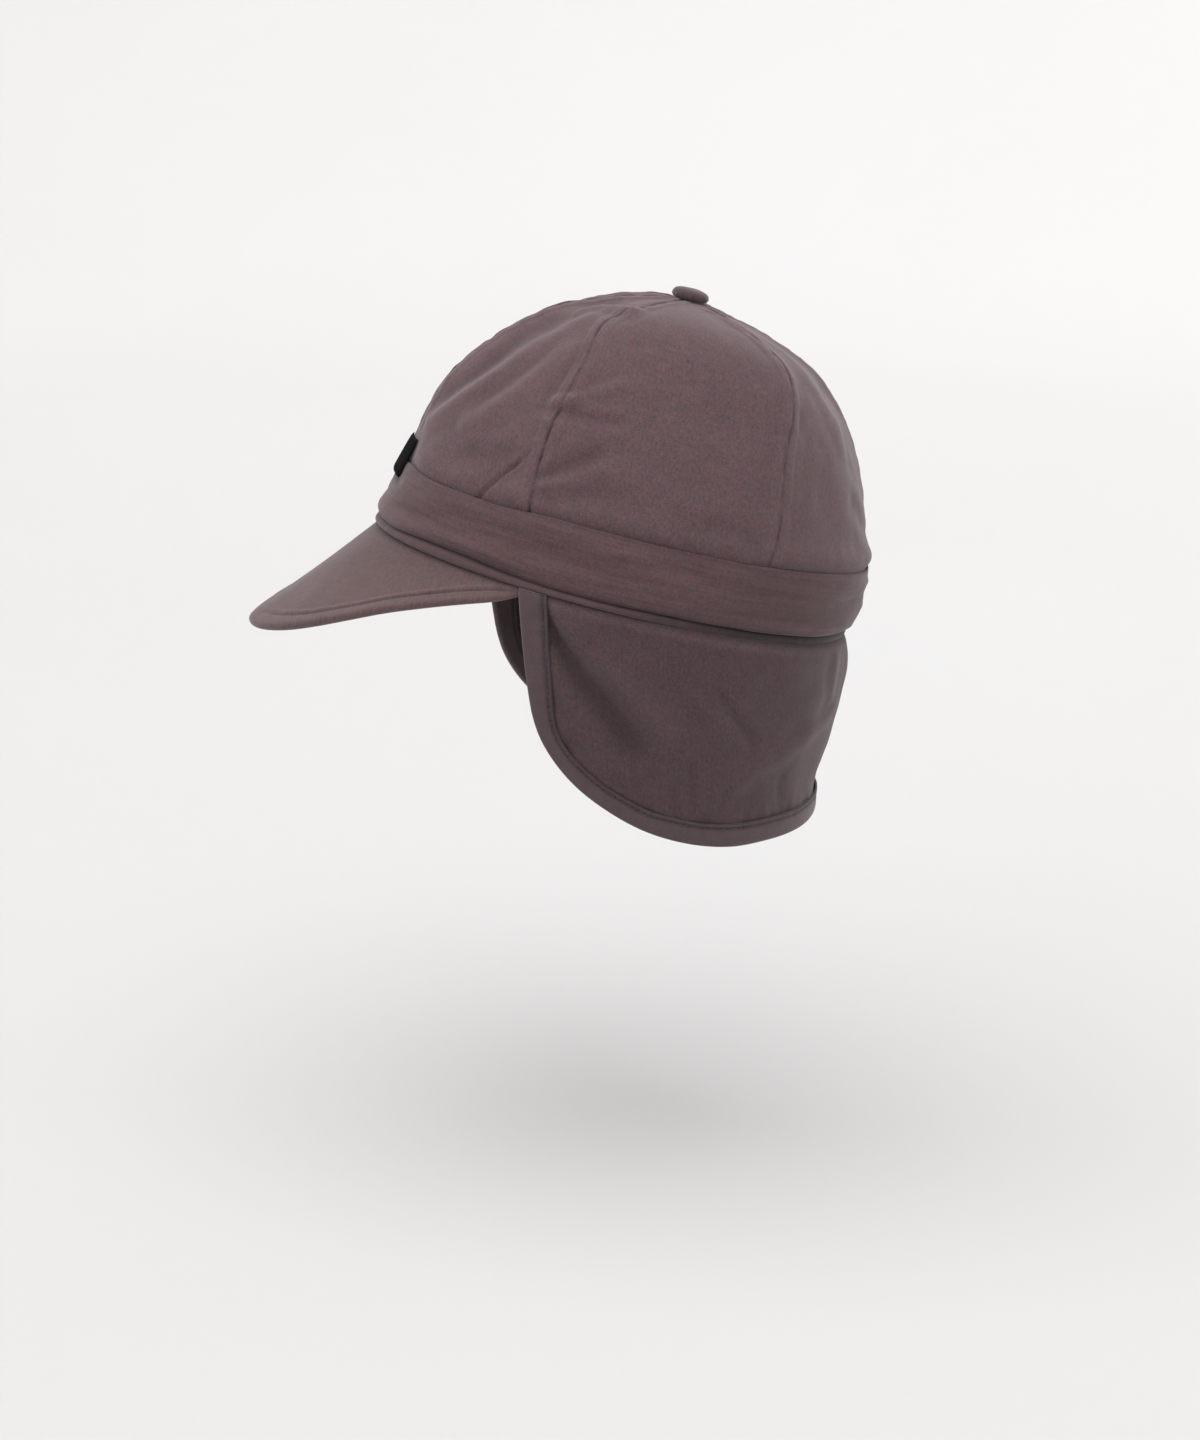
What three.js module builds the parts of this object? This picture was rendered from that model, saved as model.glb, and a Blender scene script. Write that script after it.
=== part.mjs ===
import * as THREE from "three";

// Earflap cap with a short peak, in the shape it has when worn. Millimetres, +Z up, peak towards -Y.
// The origin is the centre of the head opening, in the seam that joins crown, peak and flap.
// Crown, band, piping, peak, button and label are worked out in the cap's own frame, whose Z runs
// up the crown, and are tipped back together by WORN_TILT. The flap hangs straight down from the
// tipped seam. A turn is an angle round the head: 0 at the front, 90 at the wearer's left.

// Head opening and crown
const HEAD_LENGTH = 197.2;
const HEAD_WIDTH = 161;
const FRONT_NARROWING = 0.05;
const CROWN_HEIGHT = 119;
const CROWN_WALL = 1.5;
const WORN_TILT = 14.3;
const SEAM_TURNS = [0, 57.5, 120, 180, 240, 302.5, 360];
const PANEL_RIDGE = 0.07;
const RIDGE_FROM = 0.3;
const RIDGE_FULL = 0.85;

// Clearance between sewn pieces, and the size of the folds in the cloth
const SEAM_GAP = 0.3;
const FOLD_WIDTH = 10;
const FOLD_DEPTH = 3;

// Band and piping
const BAND_TOP = 30;
const BAND_WALL = 2;
const BAND_CLEARANCE = 0.3;
const PIPING_WALL = 2.1;
const PIPING_SHOULDER = 0.7;

// Peak
const PEAK_REACH = 44.3;
const PEAK_DROP = 51.5;
const PEAK_SPREAD = 62.3;
const PEAK_OVAL = 1.75;
const PEAK_LIP = 1;
const PEAK_WALL = 3.4;
const PEAK_ARCH = -0.8;

// Flap and its binding
const FLAP_START = PEAK_SPREAD + 0.7;
const FLAP_DROP = 89;
const FLAP_WALL = 2;
const FLAP_FRONT_TO = -0.5;
const FLAP_BACK_FROM = 0.7;
const BINDING_WIDTH = 9.5;
const BINDING_WALL = 0.8;

// Button and label
const BUTTON_DIAMETER = 16;
const BUTTON_HEIGHT = 5.1;
const LABEL_WIDTH = 22;
const LABEL_HEIGHT = 16;
const LABEL_WALL = 0.8;
const LABEL_ABOVE_BAND = 8.5;

// Fineness of the facets
const PANEL_COLUMNS = 8;
const PANEL_ROWS = 19;
const FLAP_COLUMNS = 24;
const FRONT_EDGE_STEPS = 5;
const FLAP_ROWS = 8;
const PEAK_COLUMNS = 20;
const PEAK_ROWS = 6;
const BAND_INSIDE_STEPS = 5;
const LABEL_STEPS = 6;
const BUTTON_STEPS = 20;

// Crown outline from the seam up to the button: height as a share of CROWN_HEIGHT, reach to front
// and back and lean to the back as shares of half the length, spread as a share of half the width
const CROWN_SECTIONS = [
  { height: 0.0, reach: 1.0, spread: 1.0, lean: 0.0 },
  { height: 0.126, reach: 0.998, spread: 1.004, lean: 0.025 },
  { height: 0.252, reach: 0.99, spread: 0.998, lean: 0.036 },
  { height: 0.353, reach: 0.967, spread: 0.972, lean: 0.032 },
  { height: 0.454, reach: 0.934, spread: 0.935, lean: 0.026 },
  { height: 0.555, reach: 0.891, spread: 0.892, lean: 0.022 },
  { height: 0.655, reach: 0.821, spread: 0.845, lean: 0.029 },
  { height: 0.739, reach: 0.74, spread: 0.803, lean: 0.036 },
  { height: 0.815, reach: 0.645, spread: 0.75, lean: 0.041 },
  { height: 0.878, reach: 0.54, spread: 0.672, lean: 0.043 },
  { height: 0.924, reach: 0.405, spread: 0.572, lean: 0.04 },
  { height: 0.957, reach: 0.285, spread: 0.44, lean: 0.036 },
  { height: 0.981, reach: 0.16, spread: 0.28, lean: 0.031 },
  { height: 0.996, reach: 0.035, spread: 0.055, lean: 0.026 },
].map((row, place) => ({ ...row, place }));

// Folds and dents of the crown, each a line between two places: heights as shares of CROWN_HEIGHT,
// width and depth as shares of FOLD_WIDTH and FOLD_DEPTH, a ridge where the depth is below zero
const CROWN_FOLDS = [
  { turn: 50, height: 0.37, toTurn: 44, toHeight: 0.27, width: 0.5, depth: 0.7 },
  { turn: 59, height: 0.37, toTurn: 66, toHeight: 0.45, width: 0.6, depth: 0.6 },
  { turn: 61, height: 0.32, toTurn: 84, toHeight: 0.35, width: 1.0, depth: 0.4 },
  { turn: 40, height: 0.85, toTurn: 22, toHeight: 0.45, width: 1.2, depth: 0.3 },
  { turn: 20, height: 0.85, toTurn: 10, toHeight: 0.45, width: 1.0, depth: -0.3 },
  { turn: 124, height: 0.86, toTurn: 150, toHeight: 0.72, width: 1.4, depth: 0.4 },
  { turn: 304, height: 0.42, toTurn: 316, toHeight: 0.28, width: 0.7, depth: 0.5 },
  { turn: 230, height: 0.8, toTurn: 214, toHeight: 0.5, width: 1.3, depth: 0.4 },
  { turn: 290, height: 0.55, toTurn: 268, toHeight: 0.34, width: 1.2, depth: 0.4 },
];

// Height of the band's lower fold round the head, as a share of BAND_TOP
const BAND_FOLD = [
  { turn: 0, low: 0.12 },
  { turn: 17, low: 0.13 },
  { turn: 31, low: 0.19 },
  { turn: 42, low: 0.2 },
  { turn: 52, low: 0.147 },
  { turn: 60, low: 0.12 },
  { turn: 69, low: 0.1 },
  { turn: 80, low: 0.1 },
  { turn: 98, low: 0.122 },
  { turn: 122, low: 0.118 },
  { turn: 150, low: 0.127 },
  { turn: 180, low: 0.127 },
];

// Outer side of the band's section: up as a share of its height, out as a share of BAND_WALL
const BAND_SECTION = [
  { up: 0.0, out: 0.45 },
  { up: 0.03, out: 1.15 },
  { up: 0.14, out: 1.25 },
  { up: 0.5, out: 1.0 },
  { up: 0.95, out: 0.95 },
  { up: 1.0, out: 0.4 },
];

// Fall of the peak's outer edge from its tip (0) round to its corner (1), as a share of PEAK_DROP
const PEAK_FALL = [
  { round: 0.0, down: 0.996 },
  { round: 0.1, down: 0.988 },
  { round: 0.2, down: 0.946 },
  { round: 0.3, down: 0.87 },
  { round: 0.4, down: 0.758 },
  { round: 0.5, down: 0.62 },
  { round: 0.6, down: 0.474 },
  { round: 0.7, down: 0.346 },
  { round: 0.8, down: 0.234 },
  { round: 0.9, down: 0.138 },
  { round: 1.0, down: 0.04 },
];

// Lower edge of the flap: along as a share of its half length, drop as a share of FLAP_DROP
const FLAP_EDGE = [
  { along: 0.0, drop: 0.0 },
  { along: 0.0, drop: 0.25 },
  { along: 0.0, drop: 0.48 },
  { along: 0.006, drop: 0.6 },
  { along: 0.021, drop: 0.692 },
  { along: 0.053, drop: 0.785 },
  { along: 0.103, drop: 0.869 },
  { along: 0.178, drop: 0.94 },
  { along: 0.26, drop: 0.985 },
  { along: 0.36, drop: 0.999 },
  { along: 0.474, drop: 0.982 },
  { along: 0.606, drop: 0.93 },
  { along: 0.74, drop: 0.885 },
  { along: 0.87, drop: 0.85 },
  { along: 1.0, drop: 0.835 },
];

// How far the hanging flap draws in below the seam: down as a share of FLAP_DROP, side as a share
// of half the width, front and back as shares of half the length
const FLAP_HANG = [
  { down: 0.0, side: 0.0, front: 0.0, back: 0.0 },
  { down: 0.17, side: 0.004, front: 0.02, back: 0.002 },
  { down: 0.34, side: 0.014, front: 0.04, back: 0.04 },
  { down: 0.51, side: 0.028, front: 0.06, back: 0.074 },
  { down: 0.67, side: 0.044, front: 0.08, back: 0.118 },
  { down: 0.79, side: 0.056, front: 0.092, back: 0.132 },
  { down: 1.0, side: 0.072, front: 0.11, back: 0.136 },
];

// Folds of the flap: along and down as shares of its half length and FLAP_DROP
const FLAP_FOLDS = [
  { along: 0.09, down: 0.2, toAlong: 0.21, toDown: 0.62, width: 1.0, depth: 0.9 },
  { along: 0.36, down: 0.25, toAlong: 0.52, toDown: 0.52, width: 1.1, depth: 0.35 },
  { along: 0.62, down: 0.72, toAlong: 0.9, toDown: 0.42, width: 1.0, depth: -0.5 },
  { along: -0.1, down: 0.22, toAlong: -0.24, toDown: 0.6, width: 1.0, depth: 0.7 },
  { along: -0.5, down: 0.6, toAlong: -0.8, toDown: 0.4, width: 1.2, depth: -0.4 },
];

// Side of the button from its foot to its top: out as a share of its radius, up of BUTTON_HEIGHT
const BUTTON_OUTLINE = [
  { out: 0.0, up: 0.0 },
  { out: 0.82, up: 0.0 },
  { out: 1.0, up: 0.35 },
  { out: 0.92, up: 0.72 },
  { out: 0.6, up: 0.94 },
  { out: 0.0, up: 1.0 },
];

const COLOURS = {
  crown: 0x6a5658,
  band: 0x5f4e50,
  piping: 0x544446,
  peak: 0x716060,
  flap: 0x524446,
  binding: 0x5a4c4f,
  button: 0x5b4b50,
  label: 0x1c1d22,
};

const radians = THREE.MathUtils.degToRad;
const { clamp, lerp, smoothstep } = THREE.MathUtils;
const halfLength = HEAD_LENGTH / 2 + CROWN_WALL;
const halfWidth = HEAD_WIDTH / 2 + CROWN_WALL;
const topPlace = CROWN_SECTIONS.length - 1;
const pipingReach = BAND_CLEARANCE + PIPING_WALL;

// Smooth value of one column of a table, read at a value of its key column
function readTable(rows, key, column, at) {
  const last = rows.length - 1;
  const x = clamp(at, rows[0][key], rows[last][key]);
  let i = 0;
  while (i < last - 1 && rows[i + 1][key] < x) {
    i += 1;
  }
  const slope = (k) => {
    const a = rows[Math.max(k - 1, 0)];
    const b = rows[Math.min(k + 1, last)];
    return (b[column] - a[column]) / (b[key] - a[key]);
  };
  const step = rows[i + 1][key] - rows[i][key];
  const t = (x - rows[i][key]) / step;
  const start = rows[i][column] * (1 + 2 * t) * (1 - t) ** 2 + slope(i) * step * t * (1 - t) ** 2;
  const end = rows[i + 1][column] * t * t * (3 - 2 * t) - slope(i + 1) * step * t * t * (1 - t);
  return start + end;
}

// Even steps from one value to another, both ends included
function steps(from, to, count) {
  return Array.from({ length: count + 1 }, (_, i) => lerp(from, to, i / count));
}

// Point of the egg-shaped plan, reach and spread measured in millimetres
function planPoint(turn, reach, spread, lean = 0) {
  const angle = radians(turn);
  const x = spread * Math.sin(angle) * (1 - FRONT_NARROWING * Math.cos(angle));
  return new THREE.Vector3(x, lean - reach * Math.cos(angle), 0);
}

// Point of the crown before its folds. Seams run straight up to the button, and between two seams
// the cloth lies flatter by PANEL_RIDGE, which starts at RIDGE_FROM and is full at RIDGE_FULL of
// the crown's height.
function smoothCrown(turn, place, ridge = PANEL_RIDGE) {
  const read = (column) => readTable(CROWN_SECTIONS, "place", column, place);
  const angle = radians(turn);
  const share = 1 / Math.hypot(Math.sin(angle) / read("spread"), Math.cos(angle) / read("reach"));
  const around = THREE.MathUtils.euclideanModulo(turn, 360);
  const panel = SEAM_TURNS.findIndex((seam, i) => around >= seam && around < SEAM_TURNS[i + 1]);
  const across = (around - SEAM_TURNS[panel]) / (SEAM_TURNS[panel + 1] - SEAM_TURNS[panel]);
  const flat = ridge * smoothstep(read("height"), RIDGE_FROM, RIDGE_FULL) * (1 - (2 * across - 1) ** 2);
  const size = share * (1 - flat);
  const point = planPoint(turn, size * halfLength, size * halfWidth, read("lean") * halfLength);
  return point.setZ(read("height") * CROWN_HEIGHT);
}

// Place in the crown table at a height above the seam
function placeAtHeight(height) {
  let low = 0;
  let high = topPlace;
  for (let i = 0; i < 30; i += 1) {
    const middle = (low + high) / 2;
    const reached = readTable(CROWN_SECTIONS, "place", "height", middle) * CROWN_HEIGHT;
    low = reached < height ? middle : low;
    high = reached < height ? high : middle;
  }
  return (low + high) / 2;
}

// Outward normal of a surface whose first value runs round the head and whose second runs up
function normalOf(surface, u, v, stepU, stepV) {
  const alongU = surface(u + stepU, v).sub(surface(u - stepU, v));
  const alongV = surface(u, v + stepV).sub(surface(u, v - stepV));
  return alongU.cross(alongV).normalize();
}

// A fold as a line of points on its surface, with its width and depth in millimetres
function foldLine(fold, ends, surface) {
  const points = steps(0, 1, 10).map((t) => {
    return surface(lerp(ends[0], ends[2], t), lerp(ends[1], ends[3], t));
  });
  return { points, width: fold.width * FOLD_WIDTH, depth: fold.depth * FOLD_DEPTH };
}

// Depth of all folds at a point: deepest on each line, fading to its sides and its two ends
function foldDepth(point, lines) {
  let depth = 0;
  for (const line of lines) {
    let nearest = Infinity;
    let along = 0;
    line.points.slice(1).forEach((end, i) => {
      const piece = new THREE.Line3(line.points[i], end);
      const t = piece.closestPointToPointParameter(point, true);
      const distance = piece.at(t, new THREE.Vector3()).distanceTo(point);
      if (distance < nearest) {
        nearest = distance;
        along = (i + t) / (line.points.length - 1);
      }
    });
    depth += line.depth * Math.exp(-((nearest / line.width) ** 2)) * (1 - (2 * along - 1) ** 4);
  }
  return depth;
}

// One closed body from a list of points and the quads between them, its faces turned outwards
function closedBody(points, quads) {
  const index = [];
  for (const [a, b, c, d] of quads) {
    index.push(a, b, c, a, c, d);
  }
  let volume = 0;
  for (let i = 0; i < index.length; i += 3) {
    const [a, b, c] = [points[index[i]], points[index[i + 1]], points[index[i + 2]]];
    volume += a.dot(b.clone().cross(c));
  }
  const geometry = new THREE.BufferGeometry();
  geometry.setAttribute(
    "position",
    new THREE.Float32BufferAttribute(points.flatMap((point) => point.toArray()), 3),
  );
  geometry.setIndex(volume > 0 ? index : index.reverse());
  geometry.computeVertexNormals();
  return geometry;
}

// A cloth wall: its outer face is the surface over the columns and rows, its inner face lies one
// wall thickness behind it along the normals, and four narrow edges close it
function clothWall(surface, columns, rows, wall, normalAt = null) {
  const stepU = (columns[1] - columns[0]) / 50;
  const stepV = (rows[1] - rows[0]) / 50;
  const facing = normalAt ?? ((u, v) => normalOf(surface, u, v, stepU, stepV));
  const outer = [];
  const inner = [];
  for (const u of columns) {
    for (const v of rows) {
      const point = surface(u, v);
      outer.push(point);
      inner.push(point.clone().addScaledVector(facing(u, v), -wall));
    }
  }
  const high = rows.length;
  const back = outer.length;
  const at = (i, j) => i * high + j;
  const quads = [];
  for (let i = 0; i < columns.length - 1; i += 1) {
    for (let j = 0; j < high - 1; j += 1) {
      const corners = [at(i, j), at(i + 1, j), at(i + 1, j + 1), at(i, j + 1)];
      quads.push(corners);
      quads.push(corners.map((k) => k + back).reverse());
    }
    quads.push([at(i, 0) + back, at(i + 1, 0) + back, at(i + 1, 0), at(i, 0)]);
    quads.push([at(i, high - 1), at(i + 1, high - 1), at(i + 1, high - 1) + back, at(i, high - 1) + back]);
  }
  for (let j = 0; j < high - 1; j += 1) {
    const last = columns.length - 1;
    quads.push([at(0, j), at(0, j + 1), at(0, j + 1) + back, at(0, j) + back]);
    quads.push([at(last, j) + back, at(last, j + 1) + back, at(last, j + 1), at(last, j)]);
  }
  return closedBody([...outer, ...inner], quads);
}

// A strip carried round a path: every section has the same number of points. The sections join up
// in a ring, or the strip ends in two flat faces made of the quads between the given corners.
function sweptStrip(sections, endFaces = null) {
  const isRing = endFaces === null;
  const size = sections[0].length;
  const count = sections.length;
  const quads = [];
  for (let i = 0; i < (isRing ? count : count - 1); i += 1) {
    for (let j = 0; j < size; j += 1) {
      const [a, b] = [i * size, ((i + 1) % count) * size];
      const k = (j + 1) % size;
      quads.push([a + j, b + j, b + k, a + k]);
    }
  }
  for (const corners of endFaces ?? []) {
    quads.push(corners);
    quads.push(corners.map((k) => (count - 1) * size + k).reverse());
  }
  return closedBody(sections.flat(), quads);
}

function namedMesh(name, geometry, colour) {
  const material = new THREE.MeshStandardMaterial({ color: colour, roughness: 0.9, metalness: 0 });
  const mesh = new THREE.Mesh(geometry, material);
  mesh.name = name;
  return mesh;
}

// Crown: six panels, folded and dented above the band
const crownLines = CROWN_FOLDS.map((fold) => {
  const low = placeAtHeight(fold.height * CROWN_HEIGHT);
  const high = placeAtHeight(fold.toHeight * CROWN_HEIGHT);
  return foldLine(fold, [fold.turn, low, fold.toTurn, high], smoothCrown);
});

function crownPoint(turn, place) {
  const point = smoothCrown(turn, place);
  const aboveBand = smoothstep(point.z, BAND_TOP, BAND_TOP + FOLD_WIDTH);
  const depth = aboveBand * foldDepth(point, crownLines);
  return point.addScaledVector(normalOf(smoothCrown, turn, place, 0.1, 0.01), -depth);
}

function crownPanel(first) {
  const [start, end] = [SEAM_TURNS[first], SEAM_TURNS[first + 1]];
  const turnAt = (across, place) => {
    const seam = smoothCrown(start, place);
    const lean = readTable(CROWN_SECTIONS, "place", "lean", place) * halfLength;
    const radius = Math.hypot(seam.x, seam.y - lean);
    const trim = THREE.MathUtils.radToDeg(SEAM_GAP / 2 / radius);
    return lerp(start + trim, end - trim, across);
  };
  const surface = (across, place) => crownPoint(turnAt(across, place), place);
  const unridged = (turn, place) => smoothCrown(turn, place, 0);
  const normalAt = (across, place) => normalOf(unridged, turnAt(across, place), place, 0.1, 0.01);
  const [columns, rows] = [steps(0, 1, PANEL_COLUMNS), steps(0, topPlace, PANEL_ROWS)];
  return clothWall(surface, columns, rows, CROWN_WALL, normalAt);
}

const PANEL_NAMES = ["front_left", "side_left", "back_left", "back_right", "side_right", "front_right"];

function crownPanels() {
  return PANEL_NAMES.map((side, i) => namedMesh(`crown_panel_${side}`, crownPanel(i), COLOURS.crown));
}

// Turns of the facets round the head, the same for crown, band and piping
const stations = SEAM_TURNS.slice(0, -1).flatMap((start, i) => {
  return steps(start, SEAM_TURNS[i + 1], PANEL_COLUMNS).slice(0, -1);
});

// Point beside the crown's foot, a given way out from its cloth
function besideCrown(turn, height, out) {
  const place = placeAtHeight(Math.max(height, 0));
  return planPoint(
    turn,
    readTable(CROWN_SECTIONS, "place", "reach", place) * halfLength + out,
    readTable(CROWN_SECTIONS, "place", "spread", place) * halfWidth + out,
    readTable(CROWN_SECTIONS, "place", "lean", place) * halfLength,
  ).setZ(height);
}

function bandFoldHeight(turn) {
  const side = turn > 180 ? 360 - turn : turn;
  return readTable(BAND_FOLD, "turn", "low", side) * BAND_TOP;
}

// Band: a folded strip round the crown's foot, fullest at its lower fold
function band() {
  const sections = stations.map((turn) => {
    const low = bandFoldHeight(turn);
    const outside = BAND_SECTION.map(({ up, out }) => {
      return besideCrown(turn, lerp(low, BAND_TOP, up), BAND_CLEARANCE + out * BAND_WALL);
    });
    const inside = steps(BAND_TOP, low, BAND_INSIDE_STEPS).map((height) => {
      return besideCrown(turn, height, BAND_CLEARANCE);
    });
    return [...outside, ...inside];
  });
  return namedMesh("band", sweptStrip(sections), COLOURS.band);
}

// Piping: the rolled seam that shows under the band, as tall as the band's fold leaves it
function seamPiping() {
  const sections = stations.map((turn) => {
    const top = bandFoldHeight(turn) - SEAM_GAP;
    const middle = top / 2;
    const near = BAND_CLEARANCE;
    const round = BAND_CLEARANCE + PIPING_SHOULDER * PIPING_WALL;
    return [
      besideCrown(turn, 0, near),
      besideCrown(turn, 0, round),
      besideCrown(turn, middle, pipingReach),
      besideCrown(turn, top, round),
      besideCrown(turn, top, near),
    ];
  });
  return namedMesh("seam_piping", sweptStrip(sections), COLOURS.piping);
}

// Peak: runs from under the piping to an outer edge whose plan is a pointed oval
const peakCorner = planPoint(PEAK_SPREAD, halfLength, halfWidth);
const peakTip = -(halfLength + PEAK_REACH);

function peakPoint(turn, up) {
  const root = planPoint(turn, halfLength, halfWidth).setZ(-SEAM_GAP);
  const round = Math.min(Math.abs(turn) / PEAK_SPREAD, 1);
  const angle = (round * Math.PI) / 2;
  const edge = new THREE.Vector3(
    Math.sign(turn) * (peakCorner.x + PEAK_LIP) * Math.sin(angle) ** (2 / PEAK_OVAL),
    lerp(peakCorner.y, peakTip, Math.max(Math.cos(angle), 0) ** (2 / PEAK_OVAL)),
    -SEAM_GAP - readTable(PEAK_FALL, "round", "down", round) * PEAK_DROP,
  );
  const arch = PEAK_ARCH * (1 - round ** 2) * 4 * up * (1 - up);
  const slope = Math.hypot(PEAK_DROP, PEAK_REACH);
  const point = edge.lerp(root, up);
  point.y -= (arch * PEAK_DROP) / slope;
  point.z += (arch * PEAK_REACH) / slope;
  return point;
}

function peak() {
  const columns = steps(-PEAK_SPREAD, PEAK_SPREAD, PEAK_COLUMNS);
  return namedMesh("peak", clothWall(peakPoint, columns, steps(0, 1, PEAK_ROWS), PEAK_WALL), COLOURS.peak);
}

// Flap: hangs straight down from the tipped seam, from behind one peak corner round the neck to the
// other. FLAP_HANG's front column holds ahead of FLAP_FRONT_TO, its back column behind
// FLAP_BACK_FROM, both shares of half the length, and they blend in between.
const tip = new THREE.Euler(-radians(WORN_TILT), 0, 0);
const flapTurns = steps(FLAP_START, 180, 200);
const flapArc = [0];
flapTurns.slice(1).forEach((turn, i) => {
  const step = seamPoint(turn).distanceTo(seamPoint(flapTurns[i]));
  flapArc.push(flapArc[i] + step);
});
const flapHalf = flapArc[flapArc.length - 1];
const flapSeam = flapArc.map((arc, i) => ({ arc: arc / flapHalf, turn: flapTurns[i] }));

function seamPoint(turn) {
  const point = planPoint(turn, halfLength + pipingReach, halfWidth + pipingReach);
  return point.setZ(-SEAM_GAP).applyEuler(tip);
}

// Point of the flap, along from the wearer's left front corner (0) to the middle of the back (1)
// and on to the right front corner (2), and a drop in millimetres
function smoothFlap(along, drop) {
  const turn = readTable(flapSeam, "arc", "turn", along > 1 ? 2 - along : along);
  const point = seamPoint(turn);
  const read = (column) => readTable(FLAP_HANG, "down", column, drop / FLAP_DROP);
  const behind = smoothstep(point.y, FLAP_FRONT_TO * halfLength, FLAP_BACK_FROM * halfLength);
  point.x *= 1 - read("side");
  point.y *= 1 - lerp(read("front"), read("back"), behind);
  point.z -= drop;
  if (along > 1) {
    point.x *= -1;
  }
  return point;
}

const flapLines = FLAP_FOLDS.map((fold) => {
  const around = (along) => (along < 0 ? 2 + along : along);
  const ends = [around(fold.along), fold.down * FLAP_DROP, around(fold.toAlong), fold.toDown * FLAP_DROP];
  return foldLine(fold, ends, smoothFlap);
});

const flapEdge = new THREE.CatmullRomCurve3(
  FLAP_EDGE.map(({ along, drop }) => new THREE.Vector3(along * flapHalf, drop * FLAP_DROP, 0)),
  false,
  "centripetal",
);

// Places along the flap's edge: the straight front edge first, then the hem to the middle of the back
const frontEdge = (FLAP_EDGE[2].drop * FLAP_DROP) / flapEdge.getLength();
const hemPlaces = steps(frontEdge, 1, FLAP_COLUMNS);
const edgePlaces = [...steps(0, frontEdge, FRONT_EDGE_STEPS).slice(0, -1), ...hemPlaces];

// Point of the flat cut flap a given way in from its edge
function insideEdge(place, inset) {
  const point = flapEdge.getPointAt(place);
  const tangent = flapEdge.getTangentAt(place);
  const inward = new THREE.Vector3(tangent.y, -tangent.x, 0);
  if (place === 0 || place === 1) {
    inward.set(1 - place, -place, 0);
  }
  return point.addScaledVector(inward, inset);
}

const edgeLine = edgePlaces.map((place) => insideEdge(place, 0));

// How far a point of the flat cut flap lies from its edge
function edgeDistance(point) {
  return Math.min(...edgeLine.slice(1).map((end, i) => {
    const piece = new THREE.Line3(edgeLine[i], end);
    return piece.closestPointToPoint(point, true, new THREE.Vector3()).distanceTo(point);
  }));
}

// Surface of the flap as hung, run upwards so that its normal points outwards
function flapNormal(along, drop) {
  return normalOf((u, v) => smoothFlap(u, -v), along, -drop, 0.002, 0.5);
}

// Point of the flap with its folds, which fade out before they reach the binding
function flapPoint(along, drop) {
  const point = smoothFlap(along, drop);
  const flat = new THREE.Vector3((along > 1 ? 2 - along : along) * flapHalf, drop, 0);
  const fade = smoothstep(edgeDistance(flat), BINDING_WIDTH, BINDING_WIDTH + FOLD_WIDTH);
  return point.addScaledVector(flapNormal(along, drop), -fade * foldDepth(point, flapLines));
}

function earflap() {
  const tuck = BINDING_WALL + SEAM_GAP;
  const onFlap = (column, up) => {
    const flat = insideEdge(column > 1 ? 2 - column : column, tuck);
    const along = flat.x / flapHalf;
    return [column > 1 ? 2 - along : along, lerp(flat.y, 0, up)];
  };
  const surface = (column, up) => flapPoint(...onFlap(column, up));
  const normalAt = (column, up) => flapNormal(...onFlap(column, up));
  const columns = [...hemPlaces, ...hemPlaces.slice(0, -1).reverse().map((place) => 2 - place)];
  const geometry = clothWall(surface, columns, steps(0, 1, FLAP_ROWS), FLAP_WALL, normalAt);
  return namedMesh("earflap", geometry, COLOURS.flap);
}

// Binding: a folded tape that holds the flap's edge between its two leaves
function flapBinding() {
  const outside = SEAM_GAP + BINDING_WALL;
  const inside = -FLAP_WALL - SEAM_GAP - BINDING_WALL;
  const section = [
    [BINDING_WIDTH, outside],
    [BINDING_WALL, outside],
    [0, outside - BINDING_WALL],
    [0, inside + BINDING_WALL],
    [BINDING_WALL, inside],
    [BINDING_WIDTH, inside],
    [BINDING_WIDTH, inside + BINDING_WALL],
    [BINDING_WALL, inside + BINDING_WALL],
    [BINDING_WALL, outside - BINDING_WALL],
    [BINDING_WIDTH, outside - BINDING_WALL],
  ];
  const endFaces = [
    [0, 1, 8, 9],
    [1, 2, 3, 8],
    [3, 4, 7, 8],
    [4, 5, 6, 7],
  ];
  const sectionAt = (place, isRight) => {
    return section.map(([inset, out]) => {
      const flat = insideEdge(place, inset);
      const along = isRight ? 2 - flat.x / flapHalf : flat.x / flapHalf;
      const drop = Math.max(flat.y, SEAM_GAP);
      return smoothFlap(along, drop).addScaledVector(flapNormal(along, drop), out);
    });
  };
  const left = edgePlaces.map((place) => sectionAt(place, false));
  const right = edgePlaces.slice(0, -1).reverse().map((place) => sectionAt(place, true));
  return namedMesh("flap_binding", sweptStrip([...left, ...right], endFaces), COLOURS.binding);
}

// Button: a covered disc on the top of the crown
function crownButton() {
  const outline = BUTTON_OUTLINE.map(({ out, up }) => {
    return new THREE.Vector2((out * BUTTON_DIAMETER) / 2, up * BUTTON_HEIGHT);
  });
  const geometry = new THREE.LatheGeometry(outline, BUTTON_STEPS);
  geometry.rotateX(Math.PI / 2);
  const mesh = namedMesh("crown_button", geometry, COLOURS.button);
  const { lean, height } = CROWN_SECTIONS[topPlace];
  mesh.position.set(0, lean * halfLength, height * CROWN_HEIGHT + SEAM_GAP);
  return mesh;
}

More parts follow.
